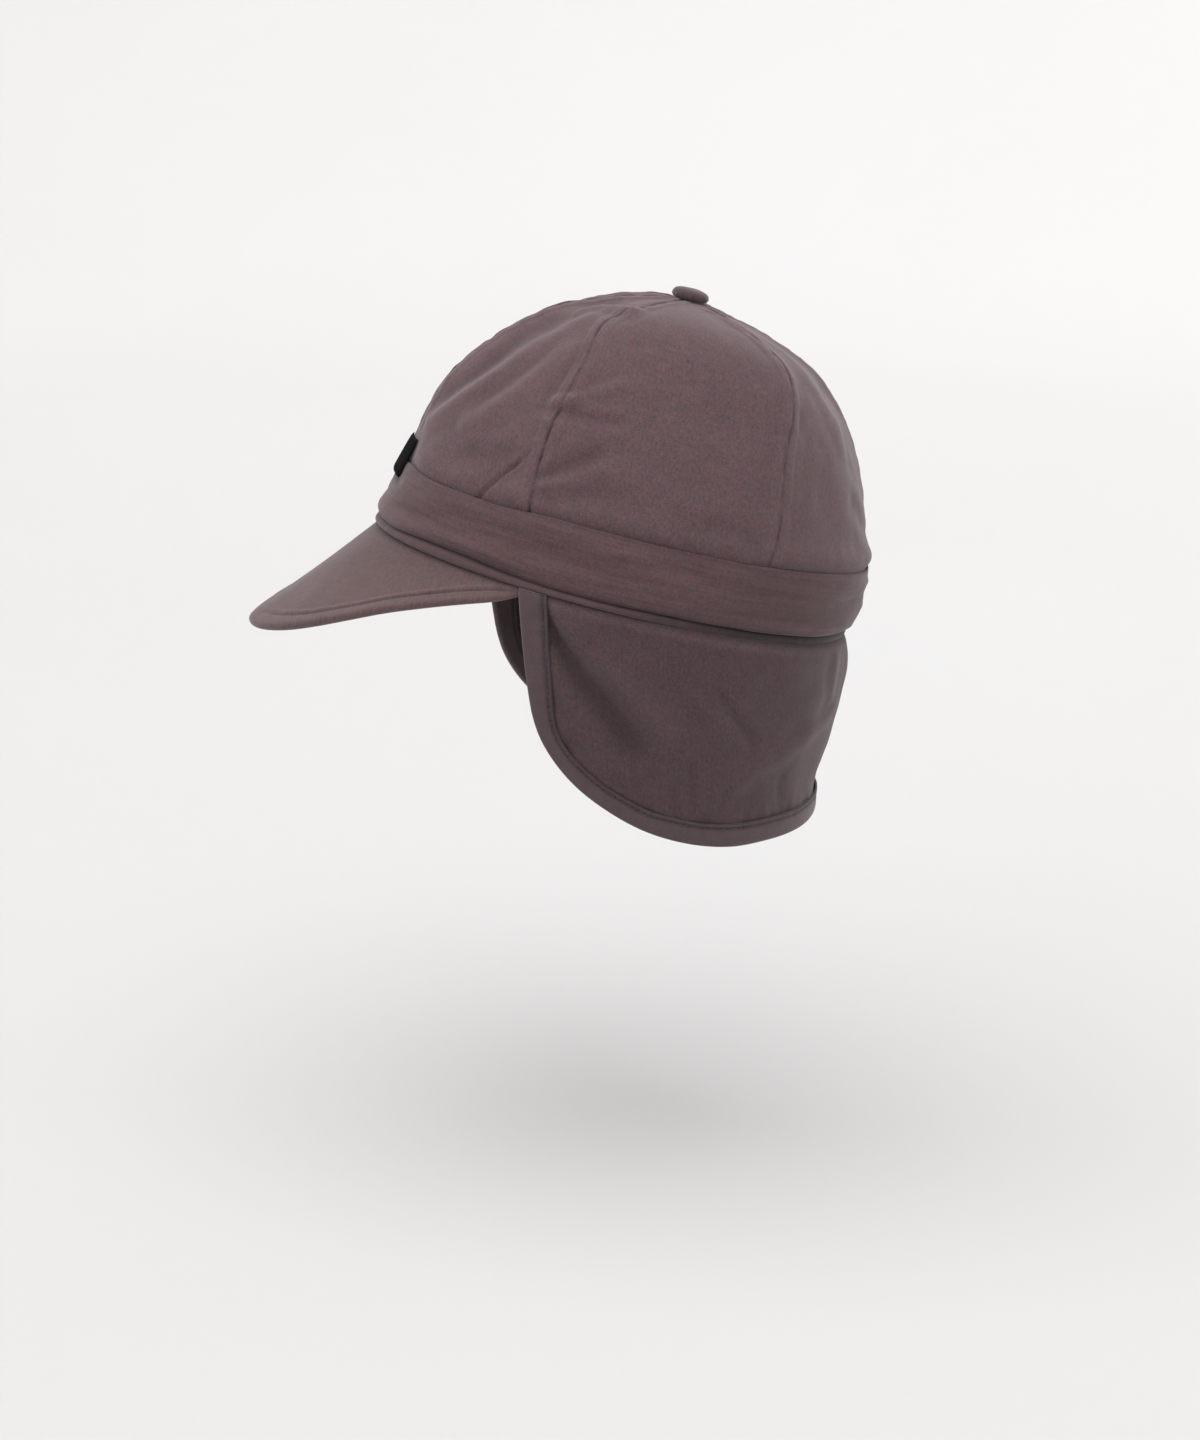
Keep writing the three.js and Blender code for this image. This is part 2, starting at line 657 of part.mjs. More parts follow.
// Label: a bare patch over the band's upper edge, leaning from the band on to the crown
function frontLabel() {
  const top = BAND_TOP + LABEL_ABOVE_BAND;
  const onBand = 2 * BAND_CLEARANCE + BAND_WALL;
  const surface = (turn, height) => {
    const back = lerp(onBand, SEAM_GAP, smoothstep(height, BAND_TOP + SEAM_GAP, top));
    return besideCrown(turn, height, back + LABEL_WALL);
  };
  const frontRadius = (halfWidth * (1 - FRONT_NARROWING) * Math.PI) / 180;
  const halfTurn = LABEL_WIDTH / 2 / frontRadius;
  const columns = steps(-halfTurn, halfTurn, LABEL_STEPS);
  const rows = steps(top - LABEL_HEIGHT, top, LABEL_STEPS);
  return namedMesh("front_label", clothWall(surface, columns, rows, LABEL_WALL), COLOURS.label);
}

const tipped = new THREE.Group();
tipped.rotation.copy(tip);
tipped.add(...crownPanels(), band(), seamPiping(), peak(), crownButton(), frontLabel());

const earflapCap = new THREE.Group();
earflapCap.add(tipped, earflap(), flapBinding());

export default earflapCap;
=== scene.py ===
"""Earflap cap with a short peak, in heathered plum-brown cotton, in the shape it has when worn.

Every piece is a surface worked out with numpy in millimetres, in the cap's own frame: X to the wearer's
left, Y to the back and Z up the crown, from the seam that joins crown, peak and flap. That frame is
tipped back by the worn tilt, and the meshes are written in metres. A turn is an angle round the head in
degrees, 0 at the front and 90 at the wearer's left.
"""

import logging
import math
from dataclasses import dataclass, field
from enum import Enum, IntEnum
from typing import Callable, Sequence

import bpy
import numpy as np
from mathutils import Matrix, Vector


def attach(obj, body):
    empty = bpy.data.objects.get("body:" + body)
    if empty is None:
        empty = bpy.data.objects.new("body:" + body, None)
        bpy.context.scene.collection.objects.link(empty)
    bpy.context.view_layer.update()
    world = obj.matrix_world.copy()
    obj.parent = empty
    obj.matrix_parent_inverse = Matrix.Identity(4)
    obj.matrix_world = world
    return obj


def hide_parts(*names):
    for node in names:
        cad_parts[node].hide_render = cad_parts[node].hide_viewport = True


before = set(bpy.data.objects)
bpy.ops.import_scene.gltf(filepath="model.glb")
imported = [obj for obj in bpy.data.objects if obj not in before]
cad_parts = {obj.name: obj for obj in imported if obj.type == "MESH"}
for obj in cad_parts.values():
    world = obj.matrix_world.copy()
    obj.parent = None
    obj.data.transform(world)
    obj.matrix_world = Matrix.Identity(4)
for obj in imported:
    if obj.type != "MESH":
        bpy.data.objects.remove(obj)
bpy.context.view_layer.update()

log = logging.getLogger("earflap_cap")

Array = np.ndarray
Surface = Callable[[Array, Array], Array]
Socket = bpy.types.NodeSocket

MM = 0.001
BODY = "root"
WAVE_RATE = 20.0
"""Radians that a wave texture's phase goes through in one unit of its coordinate."""


class Seed(IntEnum):
    """Seed of each noise, or of the first of its layers."""

    SEAM_JITTER = 3
    SEAM_PUCKER = 5
    CROWN_DENT = 11
    CROWN_SWELL = 14
    CROWN_JOINT_SHADOW = 15
    CROWN_GATHER = 21
    BAND_LOW = 31
    BAND_HIGH = 32
    BAND_LONG = 33
    BAND_SLANT = 34
    BAND_FINE_SLANT = 35
    BAND_PUCKER = 36
    BAND_JOINT_SHADOW = 37
    BAND_SHORT = 38
    PIPING_CRIMP = 41
    PEAK_CRIMP = 51
    PEAK_SWAY = 52
    FLAP_DENT = 61
    FLAP_AT_TAPE = 63
    FLAP_AT_SEAM = 64
    TAPE_CRIMP = 71
    TAPE_SWAY = 72
    TAPE_WIDTH = 73
    BUTTON_GATHER = 81
    BUTTON_BULGE = 82
    LABEL_BULGE = 91


def smoothstep(value: Array, low: float, high: float) -> Array:
    """Smooth ramp from 0 at low to 1 at high: t squared times (3 - 2t)."""
    t = np.clip((value - low) / (high - low), 0.0, 1.0)
    return t * t * (3.0 - 2.0 * t)


def bell(distance: Array, width: float | Array) -> Array:
    """Bell curve of a distance: 1 on the line, e to the minus one at the width."""
    return np.exp(-((distance / width) ** 2))


def lerp(start: Array | float, end: Array | float, share: Array | float) -> Array:
    """Straight blend from start to end."""
    return start + (end - start) * share


class Table:
    """Rows of named columns, read with one smooth curve through the rows."""

    def __init__(self, names: str, rows: Sequence[Sequence[float]]) -> None:
        """Stores the rows by column name.

        Args:
            names: the column names, with spaces between.
            rows: one sequence of numbers a row, in the names' order.
        """
        self.columns = dict(zip(names.split(), np.array(rows, float).T))
        self.columns["place"] = np.arange(len(rows), dtype=float)

    def read(self, column: str, at: Array | float, key: str = "place") -> Array:
        """Value of a column where the key column has the given values.

        Between two rows it is a cubic whose slope at a row is that from the row before to the row after.

        Args:
            column: the column to read.
            at: values of the key column, held inside its range.
            key: the column that rises from row to row.

        Returns:
            The values, in the shape of at.
        """
        keys, values = self.columns[key], self.columns[column]
        at = np.clip(np.asarray(at, float), keys[0], keys[-1])
        rows = np.arange(len(keys))
        before, after = np.maximum(rows - 1, 0), np.minimum(rows + 1, len(keys) - 1)
        slopes = (values[after] - values[before]) / (keys[after] - keys[before])
        cell = np.clip(np.searchsorted(keys, at, side="left") - 1, 0, len(keys) - 2)
        step = keys[cell + 1] - keys[cell]
        t = (at - keys[cell]) / step
        start = values[cell] * (1 + 2 * t) * (1 - t) ** 2 + slopes[cell] * step * t * (1 - t) ** 2
        end = values[cell + 1] * t * t * (3 - 2 * t) - slopes[cell + 1] * step * t * t * (1 - t)
        return start + end


def table(names: str, *rows: Sequence[float]) -> Table:
    """Dataclass field that holds a table of its own, with the given column names and rows."""
    return field(default_factory=lambda: Table(names, rows))


def soft_noise(places: Array, size: float | Sequence[float], seed: int) -> Array:
    """Smooth value noise between -1 and 1.

    Each corner of a lattice has a fixed random value, and a place takes the smooth blend of the corners
    of its own cell.

    Args:
        places: places as an array whose last axis is their one, two or three coordinates.
        size: the lattice's cell size, the same all ways or one for each coordinate.
        seed: picks the set of random values.

    Returns:
        One value a place.
    """
    scaled = places / np.asarray(size, float) + 0.37 * seed
    cell = np.floor(scaled).astype(np.int64)
    blend = scaled - cell
    blend = blend * blend * (3.0 - 2.0 * blend)
    mixers = np.array([73856093, 19349663, 83492791])[: places.shape[-1]]
    total = np.zeros(places.shape[:-1])
    for corner in np.ndindex(*(2,) * places.shape[-1]):
        mixed = (cell + np.array(corner)) @ mixers + seed * 7919
        mixed = (mixed ^ (mixed >> 13)) * 1274126177
        value = ((mixed ^ (mixed >> 16)) & 0xFFFF) / 32767.5 - 1.0
        weight = np.prod(np.where(np.array(corner) == 1, blend, 1.0 - blend), axis=-1)
        total += value * weight
    return total


def layered(places: Array, seed: int, *layers: tuple[float | Sequence[float], float]) -> Array:
    """Sum of noises, each with a cell size and a weight of its own, with seeds that count up."""
    return sum(weight * soft_noise(places, size, seed + k) for k, (size, weight) in enumerate(layers))


def unit(vectors: Array) -> Array:
    """Vectors at length one."""
    return vectors / np.linalg.norm(vectors, axis=-1, keepdims=True)


def to_leg(points: Array, start: Array, end: Array) -> tuple[Array, Array]:
    """Distance of points from a straight leg, and how far along it they are.

    Args:
        points: the points, with their coordinates on the last axis.
        start: start of the leg.
        end: end of the leg.

    Returns:
        The distances, and the shares of the leg from 0 to 1.
    """
    way = end - start
    t = np.clip((points - start) @ way / (way @ way), 0.0, 1.0)
    return np.linalg.norm(points - start - t[..., None] * way, axis=-1), t


def normals_of(surface: Surface, u: Array, v: Array, step_u: float, step_v: float) -> Array:
    """Outward normals of a surface whose first value runs round the head and whose second runs up.

    A normal is the cross product of the surface's steps along its two values, at length one.

    Args:
        surface: gives points for two values.
        u: first values.
        v: second values.
        step_u: half the step taken along the first value.
        step_v: half the step taken along the second value.

    Returns:
        One normal a pair of values.
    """
    along_u = surface(u + step_u, v) - surface(u - step_u, v)
    along_v = surface(u, v + step_v) - surface(u, v - step_v)
    return unit(np.cross(along_u, along_v))


def from_front(turn: Array) -> Array:
    """How far round from the front a turn is on either side, from 0 to 180 degrees."""
    return np.abs(np.mod(turn + 180.0, 360.0) - 180.0)


def under_label(turn: Array, height: Array) -> Array:
    """Share, from 0 to 1, by which cloth lies flat because the front label is sewn on it.

    Args:
        turn: angles round the head.
        height: heights above the seam.

    Returns:
        The shares, 1 under the label and 0 well beside it.
    """
    tall = smoothstep(height, 14.0, 19.0) * (1.0 - smoothstep(height, 39.5, 46.0))
    return tall * (1.0 - smoothstep(from_front(turn), 8.5, 13.0))


def run_length(points: Array, axis: int) -> Array:
    """Length covered along one axis of a grid of points, starting from 0.

    Args:
        points: the grid, with X, Y and Z on its last axis.
        axis: the axis to go along.

    Returns:
        The lengths, one a point.
    """
    steps = np.linalg.norm(np.diff(points, axis=axis), axis=-1)
    start = np.zeros_like(np.take(steps, [0], axis=axis))
    return np.concatenate([start, np.cumsum(steps, axis=axis)], axis=axis)


@dataclass(frozen=True)
class Fold:
    """A valley in the cloth along a line, or a ridge where its depth is below zero."""

    line: tuple[tuple[float, float], ...]
    width: float
    depth: float
    end_width: float | None = None
    shoulder: float = 0.25

    def depth_at(self, points: Array, surface: Surface) -> Array:
        """Depth of this fold at every point.

        The depth is a bell curve of the distance to the line, less a lower bell on each side of it where
        the cloth is pushed up, and it fades out at the two ends by the eighth power.

        Args:
            points: the points, as an array whose last axis is X, Y and Z.
            surface: the undented surface that turns the line's places into points.

        Returns:
            The depth in millimetres, one value a point.
        """
        legs = np.array(self.line, float)
        share = np.linspace(0, len(legs) - 1, 6 * (len(legs) - 1) + 1)
        places = [np.interp(share, np.arange(len(legs)), legs[:, k]) for k in (0, 1)]
        path = surface(*places)
        nearest = np.full(points.shape[:-1], np.inf)
        along = np.zeros(points.shape[:-1])
        for i, (start, end) in enumerate(zip(path[:-1], path[1:])):
            distance, t = to_leg(points, start, end)
            closer = distance < nearest
            nearest = np.where(closer, distance, nearest)
            along = np.where(closer, (i + t) / (len(path) - 1), along)
        width = lerp(self.width, self.end_width or self.width, along)
        profile = bell(nearest, width) - self.shoulder * bell(nearest - 2.0 * width, 0.8 * width)
        return self.depth * profile * (1.0 - (2.0 * along - 1.0) ** 8)


def depth_of(folds: Sequence[Fold], points: Array, surface: Surface) -> Array:
    """Summed depth of folds at every point."""
    return sum((fold.depth_at(points, surface) for fold in folds), np.zeros(points.shape[:-1]))


def grid_quads(index: Array) -> Array:
    """Quads between neighbouring entries of a grid of vertex numbers."""
    corners = [index[:-1, :-1], index[1:, :-1], index[1:, 1:], index[:-1, 1:]]
    return np.stack([corner.ravel() for corner in corners], axis=-1)


def shell_quads(rows: int, columns: int) -> Array:
    """Quads of two grids, outer then inner, joined by one row of quads round their borders.

    Args:
        rows: rows of either grid.
        columns: columns of either grid.

    Returns:
        Vertex numbers, four a quad.
    """
    index = np.arange(rows * columns).reshape(rows, columns)
    inner = index.size
    border = np.concatenate([index[0], index[1:, -1], index[-1, -2::-1], index[-2:0:-1, 0]])
    after = np.roll(border, -1)
    edge = np.stack([border, after, after + inner, border + inner], axis=-1)
    return np.concatenate([grid_quads(index), grid_quads(index + inner)[:, ::-1], edge])


def tube_quads(stations: int, size: int, is_ring: bool) -> Array:
    """Quads of a closed section carried along a path, which may close on itself.

    Args:
        stations: places along the path.
        size: points of the section.
        is_ring: whether the last place is joined to the first.

    Returns:
        Vertex numbers, four a quad.
    """
    index = np.arange(stations * size).reshape(stations, size)
    index = np.concatenate([index, index[:, :1]], axis=1)
    if is_ring:
        index = np.concatenate([index, index[:1]], axis=0)
    return grid_quads(index)


def end_caps(stations: int, size: int) -> list[list[int]]:
    """Faces that close the two ends of such a section, each one polygon round it."""
    return [list(range(size))[::-1], list(range((stations - 1) * size, stations * size))]


def signed_volume(points: Array, quads: Array) -> float:
    """Volume of a closed mesh, above zero where its faces point outwards.

    It is the sum over triangles of a . (b x c) / 6, with each quad cut into two triangles.

    Args:
        points: the mesh's points.
        quads: vertex numbers, four a quad.

    Returns:
        The volume in cubic millimetres.
    """
    a, b, c, d = (points[quads[:, k]] for k in range(4))
    first = np.einsum("ij,ij->i", a, np.cross(b, c)).sum()
    second = np.einsum("ij,ij->i", a, np.cross(c, d)).sum()
    return float(first + second) / 6.0


def put_in_scene(name: str, data: bpy.types.ID, way: Vector | None = None) -> bpy.types.Object:
    """Links a new object to the scene, at the origin.

    Args:
        name: the object's name.
        data: its mesh, lamp or camera.
        way: the direction in which a lamp shines.

    Returns:
        The object.
    """
    made = bpy.data.objects.new(name, data)
    if way is not None:
        made.rotation_mode = "QUATERNION"
        made.rotation_quaternion = way.to_track_quat("-Z", "Y")
    bpy.context.scene.collection.objects.link(made)
    return made


@dataclass
class Piece:
    """One mesh of the cap: its points in millimetres, faces, cloth coordinates and tone.

    The tone is a small share by which the cloth is lighter (above zero) or darker (below zero): painted
    shade, as in the ditch of a seam or the valley of a fold, and painted highlight, as on a ridge.
    """

    name: str
    points: Array
    quads: Array
    cloth: Array
    tone: Array
    caps: list[list[int]] = field(default_factory=list)
    cloth_round: float = 0.0

    @classmethod
    def shell(
        cls, name: str, outer: Array, inner: Array, cloth: Array, tone: Array, inner_tone: float
    ) -> "Piece":
        """Piece with two walls, whose borders are joined.

        Args:
            name: the piece's name.
            outer: grid of points of the outer wall.
            inner: grid of points of the inner wall.
            cloth: cloth coordinates of either grid.
            tone: tone of the outer wall.
            inner_tone: the one tone of the inner wall.

        Returns:
            The piece.
        """
        return cls(
            name=name,
            points=np.concatenate([outer.reshape(-1, 3), inner.reshape(-1, 3)]),
            quads=shell_quads(*tone.shape),
            cloth=np.concatenate([cloth.reshape(-1, 2)] * 2),
            tone=np.concatenate([tone.ravel(), np.full(tone.size, inner_tone)]),
        )

    @classmethod
    def tube(cls, name: str, points: Array, cloth: Array, tone: Array, girth: float = 0.0) -> "Piece":
        """Piece made by a closed section that is carried along a path.

        Args:
            name: the piece's name.
            points: grid of points, one row a place on the path.
            cloth: cloth coordinates of the grid.
            tone: tone of the grid.
            girth: length of a path that closes on itself, or 0 where it has two ends to close.

        Returns:
            The piece.
        """
        is_ring = girth > 0.0
        return cls(
            name=name,
            points=points.reshape(-1, 3),
            quads=tube_quads(*tone.shape, is_ring),
            cloth=cloth.reshape(-1, 2),
            tone=tone.ravel(),
            caps=[] if is_ring else end_caps(*tone.shape),
            cloth_round=girth,
        )

    def to_object(self, material: bpy.types.Material) -> bpy.types.Object:
        """Writes the piece as a smooth-shaded Blender object with a UV map and a tone attribute.

        Args:
            material: the finish of the whole piece.

        Returns:
            The new object, at the origin and linked to the scene.
        """
        quads = self.quads
        caps = self.caps
        if signed_volume(self.points, quads) < 0:
            quads = quads[:, ::-1]
            caps = [cap[::-1] for cap in caps]
        mesh = bpy.data.meshes.new(self.name)
        mesh.from_pydata((self.points * MM).tolist(), [], quads.tolist() + caps)
        mesh.update()
        corner = np.empty(len(mesh.loops), np.int32)
        mesh.loops.foreach_get("vertex_index", corner)
        uv = self.cloth[corner] * MM
        if self.cloth_round:
            whole = self.cloth_round * MM
            first = np.repeat(uv[: quads.size, 0].reshape(-1, 4).max(axis=1), 4)
            wrapped = first - uv[: quads.size, 0] > whole / 2
            uv[: quads.size, 0][wrapped] += whole
        layer = mesh.uv_layers.new(name="cloth")
        layer.data.foreach_set("uv", uv.astype(np.float32).ravel())
        tone = mesh.attributes.new("tone", "FLOAT", "POINT")
        tone.data.foreach_set("value", self.tone.astype(np.float32).ravel())
        mesh.shade_smooth()
        mesh.materials.append(material)
        return put_in_scene(self.name, mesh)


def settle(piece: bpy.types.Object, slot: str, *nodes: str) -> bpy.types.Object:
    """Fixes a piece to the cap's one body, in the place of the CAD nodes that it stands for.

    Args:
        piece: the finished object.
        slot: the record's material slot; not used.
        nodes: names of the CAD nodes that it replaces, if any.

    Returns:
        The same object.
    """
    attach(piece, BODY)
    if nodes:
        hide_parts(*nodes)
    log.info("%s: %d faces", piece.name, len(piece.data.polygons))
    return piece


def linear(colour: Sequence[float]) -> tuple[float, float, float, float]:
    """Scene-linear colour of a display colour.

    Args:
        colour: red, green and blue from 0 to 255.

    Returns:
        Red, green and blue from 0 to 1 by the standard display curve, and an alpha of 1.
    """
    values = [c / 255.0 for c in colour]
    curved = [c / 12.92 if c <= 0.04045 else ((c + 0.055) / 1.055) ** 2.4 for c in values]
    return (*curved, 1.0)


class NodeBoard:
    """Adds and links shader nodes of one material."""

    def __init__(self, name: str) -> None:
        """Makes an empty node material.

        Args:
            name: the material's name.
        """
        self.material = bpy.data.materials.new(name)
        self.material.use_nodes = True
        self.tree = self.material.node_tree
        self.tree.nodes.clear()

    def add(self, kind: str, sockets: dict | None = None, **settings: object) -> bpy.types.Node:
        """Adds a node.

        Args:
            kind: the node type without its ShaderNode prefix.
            sockets: input name to a value, or to another node's output to link.
            settings: properties of the node.

        Returns:
            The new node.
        """
        node = self.tree.nodes.new("ShaderNode" + kind)
        for key, value in settings.items():
            setattr(node, key, value)
        for key, value in (sockets or {}).items():
            socket = node.inputs[key]
            if isinstance(value, Socket):
                self.tree.links.new(value, socket)
            else:
                socket.default_value = value
        return node

    def math(self, operation: str, a: object, b: object = 0.0) -> Socket:
        """Output of a math node on two values or sockets."""
        return self.add("Math", {0: a, 1: b}, operation=operation).outputs[0]

    def around(self, value: Socket, amount: float) -> Socket:
        """Turns noise from 0 to 1 into a signed share of the given amount: (value - 0.5) x 2 x amount."""
        return self.math("MULTIPLY", self.math("SUBTRACT", value, 0.5), 2.0 * amount)


class Weave(Enum):
    """How the threads of a cloth show."""

    TWILL = "twill"
    PLAIN = "plain"


@dataclass(frozen=True)
class Cloth:
    """Woven cotton: coloured threads with a fine heather, long streaks, soft patches and a fuzz.

    Lengths are in millimetres on the cloth. Shares are of the base colour's brightness.
    """

    name: str
    colour: tuple[float, float, float]
    weave: Weave = Weave.TWILL
    thread: float = 0.62
    heather: float = 0.5
    fleck: float = 0.36
    streak: float = 0.1
    streak_cell: tuple[float, float] = (0.9, 22.0)
    blotch: float = 0.14
    patch: float = 0.08
    warmth: float = 1.3
    relief: float = 0.08
    roughness: float = 0.9
    fuzz: float = 0.3
    gloss: float = 0.2

    def noise(self, board: NodeBoard, uv: Socket, across: float, along: float) -> Socket:
        """Noise on the cloth.

        Args:
            board: where the nodes go.
            uv: the cloth coordinates.
            across: width of a cell in millimetres.
            along: length of a cell in millimetres.

        Returns:
            Output from 0 to 1.
        """
        scale = (1.0 / (across * MM), 1.0 / (along * MM), 1.0)
        placed = board.add("Mapping", {"Vector": uv, "Scale": scale}).outputs[0]
        sockets = {"Vector": placed, "Scale": 1.0, "Detail": 3.0, "Roughness": 0.6}
        return board.add("TexNoise", sockets).outputs["Fac"]

    def wave(self, board: NodeBoard, uv: Socket, angle: float, pitch: float) -> Socket:
        """Even lines across the cloth.

        Args:
            board: where the nodes go.
            uv: the cloth coordinates.
            angle: turn of the lines in degrees.
            pitch: distance between them in millimetres.

        Returns:
            Output from 0 to 1.
        """
        per_metre = math.tau / WAVE_RATE / (pitch * MM)
        turned = {"Vector": uv, "Rotation": (0, 0, math.radians(angle)), "Scale": (per_metre,) * 3}
        placed = board.add("Mapping", turned).outputs[0]
        sockets = {"Vector": placed, "Scale": 1.0, "Distortion": 0.6, "Detail": 1.0, "Detail Scale": 0.7}
        return board.add("TexWave", sockets, bands_direction="X").outputs["Fac"]

    def build(self) -> bpy.types.Material:
        """Makes the node material.

        The threads are two crossing sets of fine lines, or one slanted set for twill. Brightness is
        1 + heather + streak + patch + tone, where the mesh's tone attribute is painted light and shade, and
        the hue wanders between a red and a grey neighbour.

        Returns:
            The material.
        """
        board = NodeBoard(self.name)
        uv = board.add("TexCoord").outputs["UV"]
        # The tone attribute: painted shade in ditches, creases and under edges, painted highlights on
        # ridges and rims.
        tone = board.add("Attribute", attribute_name="tone").outputs["Fac"]
        fleck = self.noise(board, uv, 0.45, 0.7)
        heather = self.noise(board, uv, 1.0, 1.9)
        streak = self.noise(board, uv, *self.streak_cell)
        blotch = self.noise(board, uv, 4.5, 6.0)
        patch = self.noise(board, uv, 17.0, 24.0)
        hue = self.noise(board, uv, 3.2, 4.4)
        if self.weave is Weave.TWILL:
            threads = self.wave(board, uv, 58.0, self.thread)
        else:
            weft, warp = (self.wave(board, uv, angle, self.thread) for angle in (0.0, 90.0))
            threads = board.math("MULTIPLY", weft, warp)
        bright = board.math("ADD", 1.0, board.around(heather, self.heather))
        amounts = (self.fleck, self.streak, self.blotch, self.patch, 0.05)
        for value, amount in zip((fleck, streak, blotch, patch, threads), amounts):
            bright = board.math("ADD", bright, board.around(value, amount))
        bright = board.math("MULTIPLY", bright, board.math("ADD", 1.0, tone))
        red, green, blue = self.colour
        shift = 6.0 * self.warmth
        warm = linear((red + shift, green - shift * 0.35, blue - shift * 0.2))
        cool = linear((red - shift, green + shift * 0.45, blue + shift * 0.5))
        mixed = board.add("Mix", {0: hue, 6: cool, 7: warm}, data_type="RGBA").outputs[2]
        grey = board.add("CombineColor", {0: bright, 1: bright, 2: bright}).outputs[0]
        colour = board.add(
            "Mix", {0: 1.0, 6: mixed, 7: grey}, data_type="RGBA", blend_type="MULTIPLY"
        ).outputs[2]
        height = board.math("ADD", board.math("MULTIPLY", heather, 0.9), threads)
        bump = board.add("Bump", {"Strength": 0.7, "Distance": self.relief * MM, "Height": height})
        rough = board.math("ADD", self.roughness, board.around(heather, 0.06))
        surface = {
            "Base Color": colour,
            "Roughness": rough,
            "Normal": bump.outputs[0],
            "Specular IOR Level": self.gloss,
            "Sheen Weight": self.fuzz,
            "Sheen Roughness": 0.45,
            "Sheen Tint": (1.0, 0.96, 0.97, 1.0),
        }
        shader = board.add("BsdfPrincipled", surface)
        board.add("OutputMaterial", {"Surface": shader.outputs[0]})
        return board.material


CROWN_CLOTH = Cloth("crown_twill", (89, 70, 72))
BAND_CLOTH = Cloth("band_twill", (81, 62, 63), heather=0.4, streak=0.3, streak_cell=(30.0, 1.1))
PIPING_CLOTH = Cloth("piping_twill", (79, 62, 63), heather=0.12)
PEAK_CLOTH = Cloth("peak_twill", (90, 72, 72), streak=0.04)
# Its colour is darker than the crown's: painted shade, for the flap hanging under the band in less light.
FLAP_CLOTH = Cloth("flap_twill", (72, 57, 59), fuzz=0.25)
BINDING_CLOTH = Cloth("binding_tape", (80, 66, 68), weave=Weave.PLAIN, heather=0.1, streak=0.03)
BUTTON_CLOTH = Cloth("button_twill", (78, 62, 66), heather=0.1)
LABEL_CLOTH = Cloth(
    "label_weave", (17, 16, 19), Weave.PLAIN, 0.7, 0.5, warmth=0.2, relief=0.14, fuzz=0.0, gloss=0.04
)
THREAD = Cloth("stitch_thread", (66, 57, 73), weave=Weave.PLAIN, thread=0.2, heather=0.05, fuzz=0.2)


